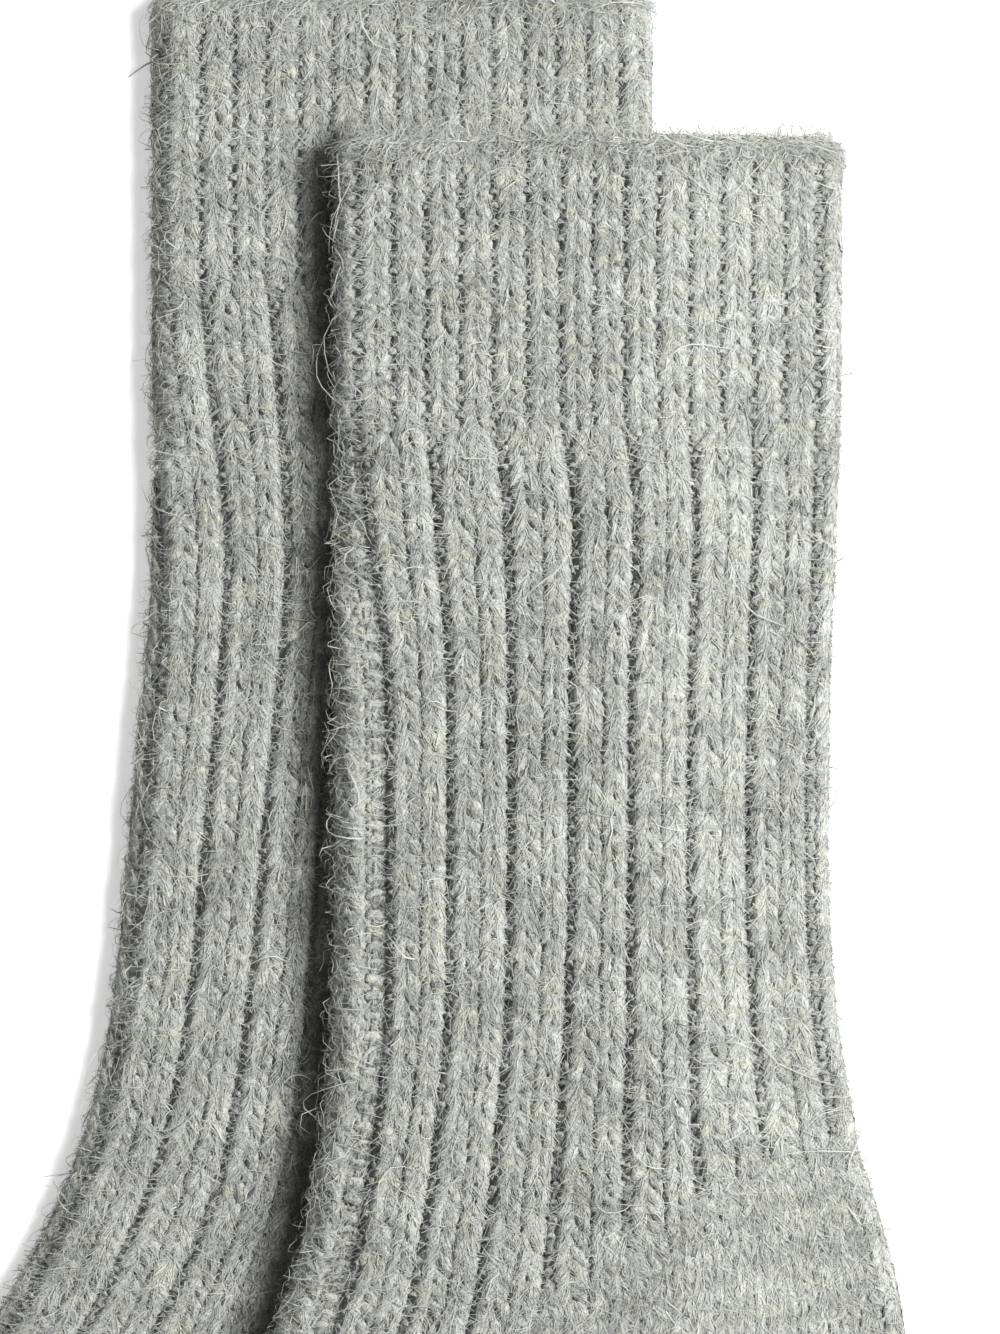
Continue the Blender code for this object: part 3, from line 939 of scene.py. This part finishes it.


# --------------------------------------------------------------------------------------------------
# The knitted shell: how far it lies under the knit's bed, how close its points are, and the shade painted on
# it inside, in the troughs and on the foot of the folds, where little light gets.

SHELL_DEPTH = 0.14
SHELL_RIB_STEPS = 12
SHELL_ROW = 2.4
SHELL_TOP = 3.0
SHELL_TIP = 1.0
SHELL_END = 0.4
SHELL_INNER_END = 3
UPPER_MARGIN = 0.35
UNDER_PLACES = 44
RIM_DOWNS = [0.0, 0.35, 0.9, 1.7]
INNER_STRIDE = 4
INSIDE_SHADE = 0.35
TROUGH_LEVEL = 1.25
TROUGH_SHADE = 0.45
TROUGH_MARGIN = 0.4
LOW_FLANK = 0.45
FLANK_SHADE = 1.1
FLANK_MOST = 0.4


def shell_ribs():
    """Rib counts where the shell has its points: fine over the top, coarser on the flat underside."""
    upper = np.arange(1, int((BACK_RIB + UPPER_MARGIN) * SHELL_RIB_STEPS) + 1) / SHELL_RIB_STEPS
    under = np.linspace(upper[-1], RIBS_ROUND, UNDER_PLACES + 1)[1:]
    return np.concatenate([upper, under])


def ring_quads(index):
    """Quads between rings of point numbers, each ring closed."""
    turned = np.roll(index, -1, axis=1)
    return np.stack([index[:-1], index[1:], turned[1:], turned[:-1]], axis=-1).reshape(-1, 4)


def shell_shade(placing, ribs, down, bed):
    """The shade painted on the shell in the troughs of its upper side and on the foot of its folds."""
    deep = np.clip((TROUGH_LEVEL - bed) * TROUGH_SHADE, 0.0, 1.0)
    deep = deep * np.where(ribs < BACK_RIB + TROUGH_MARGIN, 1.0, 0.0)
    low = np.clip((LOW_FLANK - base_height(placing, ribs, down)) * FLANK_SHADE, 0.0, FLANK_MOST)
    return np.maximum(deep, low)


def make_shell(placing, material):
    """One sock's cloth: an outside and a coarser inside, joined at the mouth's rim, closed at the toe."""
    ribs = shell_ribs()
    middle = np.arange(SHELL_TOP, TOE_TIP - SHELL_TIP, SHELL_ROW)
    grid, down = np.meshgrid(ribs, np.concatenate([RIM_DOWNS, middle, [TOE_TIP - SHELL_END]]))
    pattern = (grid + placing.rib_turn) % RIBS_ROUND
    bed = knit_bed(placing, pattern, down)
    outer = on_sock(placing, grid, down, bed - SHELL_DEPTH)
    picks = np.arange(0, len(ribs), INNER_STRIDE)
    inner_rows = np.arange(0, np.searchsorted(down[:, 0], DOWN[-SHELL_INNER_END - 1]), INNER_STRIDE)
    chosen = np.ix_(inner_rows, picks)
    inner = inner_points(placing, grid[chosen], down[chosen])
    outer_index = np.arange(outer.shape[0] * len(ribs)).reshape(outer.shape[:2])
    inner_index = outer_index.size + np.arange(len(inner_rows) * len(picks)).reshape(inner.shape[:2])
    faces = ring_quads(outer_index).tolist()
    faces += ring_quads(inner_index)[:, ::-1].tolist()
    faces += rim_faces(outer_index[0], inner_index[0], picks)
    faces += [outer_index[-1].tolist(), inner_index[-1][::-1].tolist()]
    place = np.stack([pattern * COLUMNS_A_RIB, down_row(down, pattern)], axis=-1)
    places = np.concatenate([place.reshape(-1, 2), place[chosen].reshape(-1, 2)])
    # Painted shade: in the troughs, at the foot of the folds, and all over the inside.
    deep = shell_shade(placing, grid, down, bed)
    deep = np.concatenate([deep.ravel(), np.full(inner_index.size, INSIDE_SHADE)])
    points = np.concatenate([outer.reshape(-1, 3), inner.reshape(-1, 3)])
    return add_piece("cloth_" + placing.name, placing, points, faces, material, places, deep)


def rim_faces(outer, inner, picks):
    """The rim: a face from each stretch of the inner ring to the outer points beside it."""
    count = len(outer)
    faces = []
    for index, pick in enumerate(picks):
        after = (index + 1) % len(picks)
        last = picks[after] if after else picks[0] + count
        edge = [int(outer[step % count]) for step in range(pick, last + 1)]
        faces.append(edge + [int(inner[after]), int(inner[index])])
    return faces


def inner_points(placing, ribs, down):
    """Points of the slit inside the sock, between its two layers."""
    section, inset, width, height, (across, up, _, _) = tube_at(placing, ribs, down)
    across = inset + FOLD_WALL + across * (width - 2 * FOLD_WALL) / width
    x, y = on_bed(section, across, placing)
    low = LOWER_WALL * section.height
    high = (LOWER_WALL + INSIDE_GAP) * section.height
    z = np.where(up > 0.5 * height, high, low) + drape(x, y, placing)
    return np.stack([x, y, z], axis=-1)


# --------------------------------------------------------------------------------------------------
# The stitches. A knit stitch is two legs that leave its top at the column's middle and spread down to its
# sides, each over the ends of the legs above it. A row of a table is a point of a leg: how many rows down
# from the stitch's top, how far from the column's middle in half widths, its height in the knit's relief, and
# its size as a share of the leg's.

LegPoint = namedtuple("LegPoint", "row side height size")
LEFT_LEG = (
    LegPoint(-0.40, 0.00, -1.10, 0.62),
    LegPoint(0.04, -0.22, 0.40, 0.96),
    LegPoint(0.55, -0.46, 1.00, 1.04),
    LegPoint(1.08, -0.64, 0.60, 1.00),
    LegPoint(1.60, -0.62, -1.00, 0.66),
)
RIGHT_LEG = (
    LegPoint(-0.40, -0.20, -1.10, 0.64),
    LegPoint(0.00, 0.08, 0.35, 0.96),
    LegPoint(0.46, 0.42, 1.00, 1.04),
    LegPoint(0.94, 0.68, 0.55, 1.00),
    LegPoint(1.44, 0.76, -1.00, 0.66),
)

# Which of those points a leg has where the camera doesn't see it.
FAR_POINTS = [0, 1, 3, 4]

# How a leg lies in the bed and how wide and thick it is, how loosely legs are laid, as normal spreads, how
# high their tops stand, and how near the mouth's edge they come.
STRAND_SINK = 0.33
PLAIN_OUT = 0.55
NARROW_HALF = 0.15
LEG_RELIEF = 0.12
LEG_WIDTH = 0.62
WIDEST_HALF = 2.15
LEG_THICK = 0.40
LEAST_THICK = 0.55
LEAST_HALF = 0.75
LOOSE_ROW = 0.085
LOOSE_SIDE = 0.075
LOOSE_HEIGHT = 0.045
LOOSE_WIDTH = 0.10
STRAND_TOP = LEG_RELIEF + LEG_THICK - STRAND_SINK
FIRST_DOWN = 0.15

# Which places have strands: the view's margin, how far inside the upper sock's outline nothing shows, the
# margins at the folds, in ribs, and at the toe, how high up the folds the strands start, and the columns that
# are tried.
SEEN_MARGIN = 5.0
HIDDEN_INSIDE = 2.5
FOLD_MARGIN = 0.8
TOE_MARGIN = 3.0
LOWEST_STRAND = 0.16
FIRST_COLUMN = -4
END_COLUMN = 44
FINE_SIDES = 5
COARSE_SIDES = 4


def in_view(x, y):
    """Whether places on the bed are in the camera's view, with a margin."""
    across = np.abs(x - VIEW_CENTRE[0]) < 0.5 * VIEW_SIZE[0] + SEEN_MARGIN
    up = np.abs(y - VIEW_CENTRE[1]) < 0.5 * VIEW_SIZE[1] + SEEN_MARGIN
    return across & up


def covered(placing, x, y, inside=HIDDEN_INSIDE):
    """Whether places on the lower sock are hidden by the one on top."""
    if placing.over is not None:
        return np.zeros(x.shape, dtype=bool)
    return OUTSIDE_FRONT(x, y) < -inside


def base_height(placing, ribs, down):
    """How high up the tube's side a place is, as a share of the tube's height."""
    points = on_sock(placing, ribs, down, 0.0)
    return (points[..., 2] - drape(points[..., 0], points[..., 1], placing)) / FLAT_HEIGHT


def all_stitches(placing):
    """Columns and rows of every stitch on the upper side, which of them are knit, and which are in view."""
    last_row = int(down_row(np.array(TOE_TIP), np.array(HEEL_CENTRE))) + 1
    grids = np.meshgrid(np.arange(FIRST_COLUMN, END_COLUMN), np.arange(last_row))
    column, row = (grid.ravel() for grid in grids)
    down = row_down(row, column % COLUMNS_ROUND)
    end, _ = plain_from((column % COLUMNS_ROUND) / COLUMNS_A_RIB)
    kind = column % COLUMNS_A_RIB
    cuff, plain = row < CUFF_ROWS, down >= end
    knit = plain | np.where(cuff, np.isin(kind, CUFF_KNIT), np.isin(kind, LEG_KNIT))
    if placing.over is not None:
        knit &= cuff | plain | (column != LADDER_COLUMN)
    place, _ = column_place(column, down)
    ribs = place - placing.rib_turn
    spot = on_sock(placing, ribs, down, 0.0)
    start = section_at(np.clip(down, 0.0, TOE_TIP)).rib_start
    keep = (down < TOE_TIP - TOE_MARGIN) & (ribs > start - FOLD_MARGIN) & (ribs < BACK_RIB + FOLD_MARGIN)
    keep &= base_height(placing, ribs, down) > LOWEST_STRAND
    keep &= ~covered(placing, spot[:, 0], spot[:, 1])
    return column[keep], row[keep], knit[keep], in_view(spot[keep, 0], spot[keep, 1])


def stitch_legs(placing, column, row, leg, dice):
    """The paths of one leg of many stitches, with their frames and sizes."""
    table = np.array(leg)
    loose = dice.normal(size=(len(column), 4, 1))
    rows = row[:, None] + table[:, 0] + LOOSE_ROW * loose[:, 0]
    wrapped = column % COLUMNS_ROUND
    down = np.maximum(row_down(rows, wrapped[:, None]), FIRST_DOWN)
    place, half = column_place(column[:, None], down)
    side = table[:, 1] + LOOSE_SIDE * loose[:, 1]
    sink = STRAND_SINK * (1.0 - PLAIN_OUT * (half < NARROW_HALF))
    here, normal, rib_length = bed_frame(placing, place + half * side, down, sink)
    end, _ = plain_from(wrapped[:, None] / COLUMNS_A_RIB)
    in_leg, in_plain = shares(down, end)
    height = LEG_RELIEF * table[:, 2] + LOOSE_HEIGHT * loose[:, 2]
    height = height + LEG_RISES[wrapped % COLUMNS_A_RIB][:, None] * in_leg * (1.0 - in_plain)
    paths = here + normal * height[..., None]
    size = table[:, 3]
    widths = LEG_WIDTH * np.minimum(half * rib_length, WIDEST_HALF) * size * (1.0 + LOOSE_WIDTH * loose[:, 3])
    thicks = LEG_THICK * (LEAST_THICK + (1.0 - LEAST_THICK) * size)
    thicks = thicks * np.clip(half / LEG_HALVES[0], LEAST_HALF, 1.0)
    return paths, normal, widths, thicks, np.stack([place * COLUMNS_A_RIB + side * 0.5, rows], axis=-1)


def add_strands(name, placing, paths, normals, widths, thicks, places, sides, material, tones):
    """One piece of many strands, with their attributes: the place in the knit, and the place on the yarn."""
    points, faces, around = tube_mesh(paths, normals, widths, thicks, sides)
    points[:, 2] = np.maximum(points[:, 2], 0.0)
    along = np.repeat(path_lengths(paths)[..., None], sides, axis=2).reshape(-1)
    yarn = np.stack([around, along, np.repeat(tones, paths.shape[1] * sides)], axis=-1)
    spots = np.repeat(places[:, :, None, :], sides, axis=2)
    return add_piece(name, placing, points, faces, material, spots, yarn=yarn)


def make_stitches(placing, material, fuzz_wool, dice):
    """All knit stitches of one sock, the ones in the camera's view with more sides."""
    column, row, knit, seen = all_stitches(placing)
    pieces = []
    for label, choice, sides in (("near", knit & seen, FINE_SIDES), ("far", knit & ~seen, COARSE_SIDES)):
        fibres = []
        for side_name, leg in (("left", LEFT_LEG), ("right", RIGHT_LEG)):
            if label == "far":
                leg = [leg[point] for point in FAR_POINTS]
            strands = stitch_legs(placing, column[choice], row[choice], leg, dice)
            tones = dice.random(len(strands[0]))
            name = "stitches_{}_{}_{}".format(side_name, label, placing.name)
            pieces.append(add_strands(name, placing, *strands, sides, material, tones))
            fibres.append(yarn_fibres(*strands, tones, *YARN_FIBRES[label], dice))
        joined = [np.concatenate(parts) for parts in zip(*fibres)]
        name = "yarn_fibres_{}_{}".format(label, placing.name)
        pieces.append(add_fibres(name, placing, *joined, fuzz_wool))
    return pieces


# Fibres that stand a little off their own yarn, mostly along it: how many each leg has and the points of
# each, where on the leg they start, their shape, and how far they turn from the yarn, a share of them more.
YARN_FIBRES = {"near": (12, 3), "far": (3, 2)}
FIBRE_ENDS = 0.55
FIBRE_LENGTH = 2.5
FIBRE_SPREAD = 0.4
FIBRE_WIDTH = 0.060
FIBRE_TIP = 0.6
FIBRE_LIFT = 0.30
FIBRE_CLEAR = 0.03
FIBRE_BEND = 0.25
FIBRE_START = 0.4
FIBRE_OUT = 0.95
FIBRE_TURN = 0.42
STRAY_SHARE = 0.25
STRAY_TURN = 1.5
SIDE_FACING = 0.7
WIDTH_SPREAD = 0.3


def yarn_fibres(paths, normals, widths, thicks, places, tones, count, points, dice):
    """Short fibres on the strands: their paths, facing, widths, places in the knit and tones."""
    leg = np.repeat(np.arange(len(paths)), count)
    spot = dice.uniform(FIBRE_ENDS, paths.shape[1] - 1.0 - FIBRE_ENDS, len(leg))
    low = spot.astype(int)
    part = (spot - low)[:, None]

    def between(values):
        return values[leg, low] * (1.0 - part) + values[leg, low + 1] * part

    along = unit(paths[leg, low + 1] - paths[leg, low])
    normal = unit(between(normals))
    side = unit(np.cross(along, normal))
    out = dice.uniform(-FIBRE_OUT, FIBRE_OUT, (len(leg), 1))
    round_up = np.sqrt(1.0 - out ** 2)
    root = between(paths) + side * out * between(widths[..., None])
    root = root + normal * round_up * between(thicks[..., None])
    facing = unit(side * out * SIDE_FACING + normal * round_up)
    stray = dice.random(len(leg)) < STRAY_SHARE
    any_way, along_yarn = dice.uniform(-STRAY_TURN, STRAY_TURN, len(leg)), dice.normal(size=len(leg))
    turn = np.where(stray, any_way, FIBRE_TURN * along_yarn)[:, None]
    heading = along * np.cos(turn) + side * np.sin(turn)
    sideways = side * np.cos(turn) - along * np.sin(turn)
    length = FIBRE_LENGTH * np.exp(FIBRE_SPREAD * dice.normal(size=(len(leg), 1)))
    step = np.linspace(0.0, 1.0, points)
    reach = (step - FIBRE_START) * length
    bend = FIBRE_BEND * dice.normal(size=(len(leg), 1)) * reach ** 2 / length
    lift = FIBRE_CLEAR + FIBRE_LIFT * np.abs(dice.normal(size=(len(leg), 1))) * step
    fibre = root[:, None, :] + heading[:, None, :] * reach[..., None] + sideways[:, None, :] * bend[..., None]
    fibre = fibre + facing[:, None, :] * lift[..., None]
    faces_to = np.broadcast_to(facing[:, None, :], fibre.shape)
    taper = np.linspace(1.0, FIBRE_TIP, points)
    thin = FIBRE_WIDTH * np.exp(WIDTH_SPREAD * dice.normal(size=(len(leg), 1))) * taper
    spots = np.repeat(between(places)[:, None, :], points, axis=1)
    return fibre, faces_to, thin, spots, 0.5 * tones[leg] + 0.5 * dice.random(len(leg))


LOWEST_FIBRE = 0.05


def add_fibres(name, placing, paths, normals, widths, places, tones, material):
    """One piece of many flat fibres, with their attributes."""
    points, faces = ribbon_mesh(paths, normals, widths)
    points[:, 2] = np.maximum(points[:, 2], LOWEST_FIBRE)
    own = np.repeat(tones, paths.shape[1] * 2)
    yarn = np.stack([own, own, own], axis=-1)
    return add_piece(name, placing, points, faces, material, np.repeat(places, 2, axis=1), yarn=yarn)


# A purl stitch shows as a bar across the trough: where it lies in its row and in the bed, how it bows, and
# how wide, thick and loose it is. The ladder's bars are longer, wider, looser and lower.
BAR_POINTS = np.array([-1.0, -0.4, 0.4, 1.0])
BAR_SIDES = 3
BAR_ROW = 0.55
BAR_BOW = 0.30
BAR_LIFT = 0.25
BAR_LEVEL = 0.45
BAR_SINK = 0.36
BAR_WIDTH = 0.94
BAR_THICK = 0.46
BAR_ENDS = 0.75
BAR_LOOSE_ROW = 0.06
BAR_LOOSE_LIFT = 0.05
BAR_LOOSE_WIDTH = 0.1
CUFF_REACH = 0.105
LEG_REACH = 0.085
LADDER_REACH = 0.22
LADDER_WIDTH = 1.45
LADDER_LOOSE = 2.0
LADDER_LOW = 0.14
LADDER_TILT = 0.16


def make_bars(placing, material, dice):
    """The purl stitches' bars: a low arch over each purl column, once a row."""
    column, row, knit, _ = all_stitches(placing)
    column, row = column[~knit], row[~knit]
    loose = dice.normal(size=(len(column), 3, 1))
    arch = 1.0 - BAR_POINTS ** 2
    wrapped = column % COLUMNS_ROUND
    in_ladder = (placing.over is not None) & (column[:, None] == LADDER_COLUMN) & (row[:, None] >= CUFF_ROWS)
    loose = loose * np.where(in_ladder, LADDER_LOOSE, 1.0)[:, None]
    tilt = LADDER_TILT * loose[:, 2] * BAR_POINTS * in_ladder
    rows = row[:, None] + BAR_ROW - BAR_BOW * arch + BAR_LOOSE_ROW * loose[:, 0] + tilt
    down = np.maximum(row_down(rows, wrapped[:, None]), FIRST_DOWN)
    place, _ = column_place(column[:, None], down)
    reach = np.where(down < CUFF_END, CUFF_REACH, LEG_REACH)
    pattern = place + np.where(in_ladder, LADDER_REACH, reach) * BAR_POINTS
    here, normal, _ = bed_frame(placing, pattern, down)
    lift = BAR_LIFT * arch + BAR_LOOSE_LIFT * loose[:, 1] - BAR_SINK - LADDER_LOW * in_ladder
    paths = here + BAR_LEVEL * (here[:, 2:3] - here) + normal * lift[..., None]
    wide = np.where(in_ladder, LADDER_WIDTH, BAR_WIDTH) * (BAR_ENDS + (1.0 - BAR_ENDS) * arch)
    widths = np.broadcast_to(wide * (1 + BAR_LOOSE_WIDTH * loose[:, 2]), rows.shape)
    thicks = np.full(rows.shape, BAR_THICK)
    places = np.stack([pattern * COLUMNS_A_RIB, rows], axis=-1)
    tones = dice.random(len(column))
    name = "purl_bars_" + placing.name
    return add_strands(name, placing, paths, normal, widths, thicks, places, BAR_SIDES, material, tones)


# The cast-on edge: short strands that overlap round the mouth, eight to a rib, with a bump at each. They lie
# between the cloth's outside and its inside, and stand out of the mouth a little.
RIM_STRANDS = 8
RIM_POINTS = 6
RIM_SIDES = 6
RIM_REACH = 0.11
RIM_DOWN = 0.9
RIM_BOW = 0.5
RIM_STAND = 0.55
RIM_OUTER = 0.62
RIM_OUT = 0.8
RIM_WIDTH = 1.05
RIM_THICK = 0.95
RIM_ENDS = 0.7
RIM_BUMP = 0.28
RIM_LOOSE = 0.10
RIM_LOOSE_WIDTH = 0.08
OUT_OF_MOUTH = np.array([0.0, 1.0, 0.0])


def make_rim(placing, material, dice):
    """The cast-on edge, as a row of short overlapping strands along the mouth's upper and lower walls."""
    middles = np.arange(RIBS_ROUND * RIM_STRANDS) / RIM_STRANDS
    steps = np.linspace(-RIM_REACH, RIM_REACH, RIM_POINTS)
    ribs = middles[:, None] + steps
    loose = dice.normal(size=(len(middles), 3, 1))
    arch = 1.0 - (steps / RIM_REACH) ** 2
    down = np.broadcast_to(RIM_DOWN - RIM_BOW * arch, ribs.shape)
    outer = on_sock(placing, ribs, down, knit_bed(placing, ribs + placing.rib_turn, down) * RIM_STAND)
    inner = inner_points(placing, ribs, down)
    paths = outer * RIM_OUTER + inner * (1.0 - RIM_OUTER)
    paths = paths + OUT_OF_MOUTH * (RIM_BUMP * arch + RIM_LOOSE * loose[:, 0])[..., None]
    normals = unit(outer - inner + OUT_OF_MOUTH * RIM_OUT)
    swell = RIM_ENDS + (1.0 - RIM_ENDS) * arch
    widths = np.broadcast_to(RIM_WIDTH * swell * (1 + RIM_LOOSE_WIDTH * loose[:, 1]), ribs.shape)
    thicks = np.broadcast_to(RIM_THICK * swell, ribs.shape)
    places = np.stack([ribs * COLUMNS_A_RIB, np.zeros(ribs.shape)], axis=-1)
    tones = dice.random(len(middles))
    name = "cast_on_" + placing.name
    return add_strands(name, placing, paths, normals, widths, thicks, places, RIM_SIDES, material, tones)


# --------------------------------------------------------------------------------------------------
# Fuzz: loose fibres that leave the yarn, bend over the surface and bridge the troughs. A kind's count is for
# both socks, far_share is how thick it is out of the camera's view, and edge_share how much grows at the
# edges.

Fuzz = namedtuple("Fuzz", "name count far_share points length spread lift width curl edge_share")
FUZZ = (
    Fuzz("lint", 15000, 0.25, 3, 2.6, 0.40, 0.30, 0.054, 0.50, 0.06),
    Fuzz("down", 5000, 0.25, 5, 4.8, 0.40, 0.55, 0.054, 0.50, 0.15),
    Fuzz("halo", 7500, 0.40, 4, 3.3, 0.42, 1.00, 0.060, 0.60, 1.00),
    Fuzz("strays", 1500, 0.30, 8, 8.0, 0.40, 1.30, 0.074, 0.40, 0.60),
)

# The edges that fuzz grows at, their shares of it, and how it spreads: in ribs at the folds, in millimetres
# at the mouth.
EDGES = ("front", "back", "mouth")
EDGE_SHARES = (0.46, 0.20, 0.34)
EDGE_START = 0.15
EDGE_SPREAD = 0.30
MOUTH_SPREAD = 0.8

# Roots are chosen among three times as many tries, from the front fold to just past the back fold.
TRIES = 3
FUZZ_FROM = -0.25
FUZZ_MARGIN = 0.33
FUZZ_HIDDEN = 0.5
FUZZ_END = 2.0

# A fibre's shape: how many millimetres it takes over a rib, how its curl and its peak vary, how soon it is at
# its peak and how high it ends, how deep its root is, and how straight it bridges the troughs.
RIB_LENGTH = 10.6
CURL_SPREAD = 0.35
PEAK_SPREAD = 0.5
PEAK_RATE = 2.2
END_HEIGHTS = (0.2, 1.3)
ROOT_SINK = 0.20
BRIDGE_POWER = 2.5
LOWEST_FUZZ = 0.3
FUZZ_TIP = 0.35


def fuzz_roots(placing, fuzz, dice):
    """Where a kind of fuzz leaves one sock: at random over its upper side, or at its folds and its mouth."""
    tries = fuzz.count * TRIES
    ribs = dice.uniform(FUZZ_FROM, BACK_RIB + FUZZ_MARGIN, tries)
    down = dice.uniform(0.0, TOE_TIP - FUZZ_END, tries)
    edge = dice.choice(len(EDGES), tries, p=EDGE_SHARES)
    edge[dice.random(tries) > fuzz.edge_share] = -1
    start = section_at(down).rib_start
    near = np.abs(dice.normal(size=tries))
    ribs = np.where(edge == EDGES.index("front"), start - EDGE_START + EDGE_SPREAD * near, ribs)
    ribs = np.where(edge == EDGES.index("back"), BACK_RIB + EDGE_START - EDGE_SPREAD * near, ribs)
    down = np.where(edge == EDGES.index("mouth"), MOUTH_SPREAD * near, down)
    spot = on_sock(placing, ribs, down, 0.0)
    keep = (ribs > start - FUZZ_MARGIN) & ~covered(placing, spot[:, 0], spot[:, 1], FUZZ_HIDDEN)
    seen = in_view(spot[:, 0], spot[:, 1])
    keep &= seen | (dice.random(tries) < fuzz.far_share)
    return ribs[keep], down[keep]


def fuzz_paths(placing, fuzz, ribs, down, dice):
    """Curling paths from the roots, with the lift of each point above the knit."""
    count = len(ribs)
    steps = fuzz.points - 1
    length = fuzz.length * np.exp(fuzz.spread * dice.normal(size=count)) / steps
    heading = dice.uniform(0.0, 2 * math.pi, count)
    bend = dice.normal(size=count) * fuzz.curl
    turn = np.cumsum(bend[:, None] + CURL_SPREAD * fuzz.curl * dice.normal(size=(count, steps)), axis=1)
    across = np.cumsum(length[:, None] * np.cos(heading[:, None] + turn), axis=1)
    along = np.cumsum(length[:, None] * np.sin(heading[:, None] + turn), axis=1)
    zero = np.zeros((count, 1))
    ribs = ribs[:, None] + np.concatenate([zero, across], axis=1) / RIB_LENGTH
    down = down[:, None] + np.concatenate([zero, along], axis=1)
    part = np.linspace(0.0, 1.0, fuzz.points)
    peak = fuzz.lift * np.exp(PEAK_SPREAD * dice.normal(size=(count, 1)))
    end = dice.uniform(*END_HEIGHTS, (count, 1))
    arch = np.sin(0.5 * math.pi * np.minimum(part * PEAK_RATE, 1.0)) + (end - 1.0) * part ** 2
    lift = STRAND_TOP - ROOT_SINK + peak * arch
    bridge = dice.uniform(0.0, 1.0, (count, 1)) ** BRIDGE_POWER
    bed = knit_bed(placing, ribs + placing.rib_turn, down)
    top = np.where(down > plain_from(ribs % RIBS_ROUND)[0], PLAIN_RISE, RIB_RISE)
    rise = bed + (top - bed) * bridge * (part > 0)
    paths = on_sock(placing, ribs, down, rise, lift)
    paths[..., 1] += np.maximum(-down, 0.0)
    return paths, ribs, down


def make_fuzz(placing, fuzz, material, dice):
    """One kind of fuzz on one sock."""
    ribs, down = fuzz_roots(placing, fuzz, dice)
    limit = int(fuzz.count * placing.fuzz_share)
    paths, all_ribs, all_down = fuzz_paths(placing, fuzz, ribs[:limit], down[:limit], dice)
    paths[..., 2] = np.maximum(paths[..., 2], LOWEST_FUZZ)
    normals = np.zeros_like(paths)
    normals[..., 2] = 1.0
    taper = np.linspace(1.0, FUZZ_TIP, fuzz.points)
    widths = fuzz.width * taper * np.exp(WIDTH_SPREAD * dice.normal(size=(len(paths), 1)))
    places = np.stack([all_ribs * COLUMNS_A_RIB, down_row(all_down, all_ribs % RIBS_ROUND)], axis=-1)
    name = "{}_{}".format(fuzz.name, placing.name)
    return add_fibres(name, placing, paths, normals, widths, places, dice.random(len(paths)), material)


# --------------------------------------------------------------------------------------------------
# The pair.

AREA_ROWS = 400
AREA_PLACES = 161
FIRST_SEED = 2400


def cloth_area(placing):
    """The cut of one sock's tube: its size laid out flat, and its area, in metres."""
    downs = np.linspace(0.0, TOE_TIP, AREA_ROWS)
    ribs = np.linspace(0.0, RIBS_ROUND, AREA_PLACES)
    points = on_sock(placing, ribs[None, :], downs[:, None], 0.5 * RIB_RISE)
    step_down, step_round = np.diff(points, axis=0)[:, :-1], np.diff(points, axis=1)[:-1]
    area = np.linalg.norm(np.cross(step_down, step_round), axis=-1).sum()
    round_it = np.linalg.norm(np.diff(points, axis=1), axis=-1).sum(axis=1).max()
    return round_it * MM, TOE_TIP * MM, area * MM * MM


def main():
    make_camera()
    make_studio()
    cloth, yarn, fuzz_wool = shell_material(), strand_material(), fuzz_material()
    for seed, placing in enumerate((BACK, FRONT)):
        dice = np.random.default_rng(FIRST_SEED + seed)
        shell = make_shell(placing, cloth)
        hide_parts(placing.name)
        pieces = make_stitches(placing, yarn, fuzz_wool, dice)
        pieces.append(make_bars(placing, yarn, dice))
        pieces.append(make_rim(placing, yarn, dice))
        for fuzz in FUZZ:
            pieces.append(make_fuzz(placing, fuzz, fuzz_wool, dice))
        width, length, area = cloth_area(placing)


main()
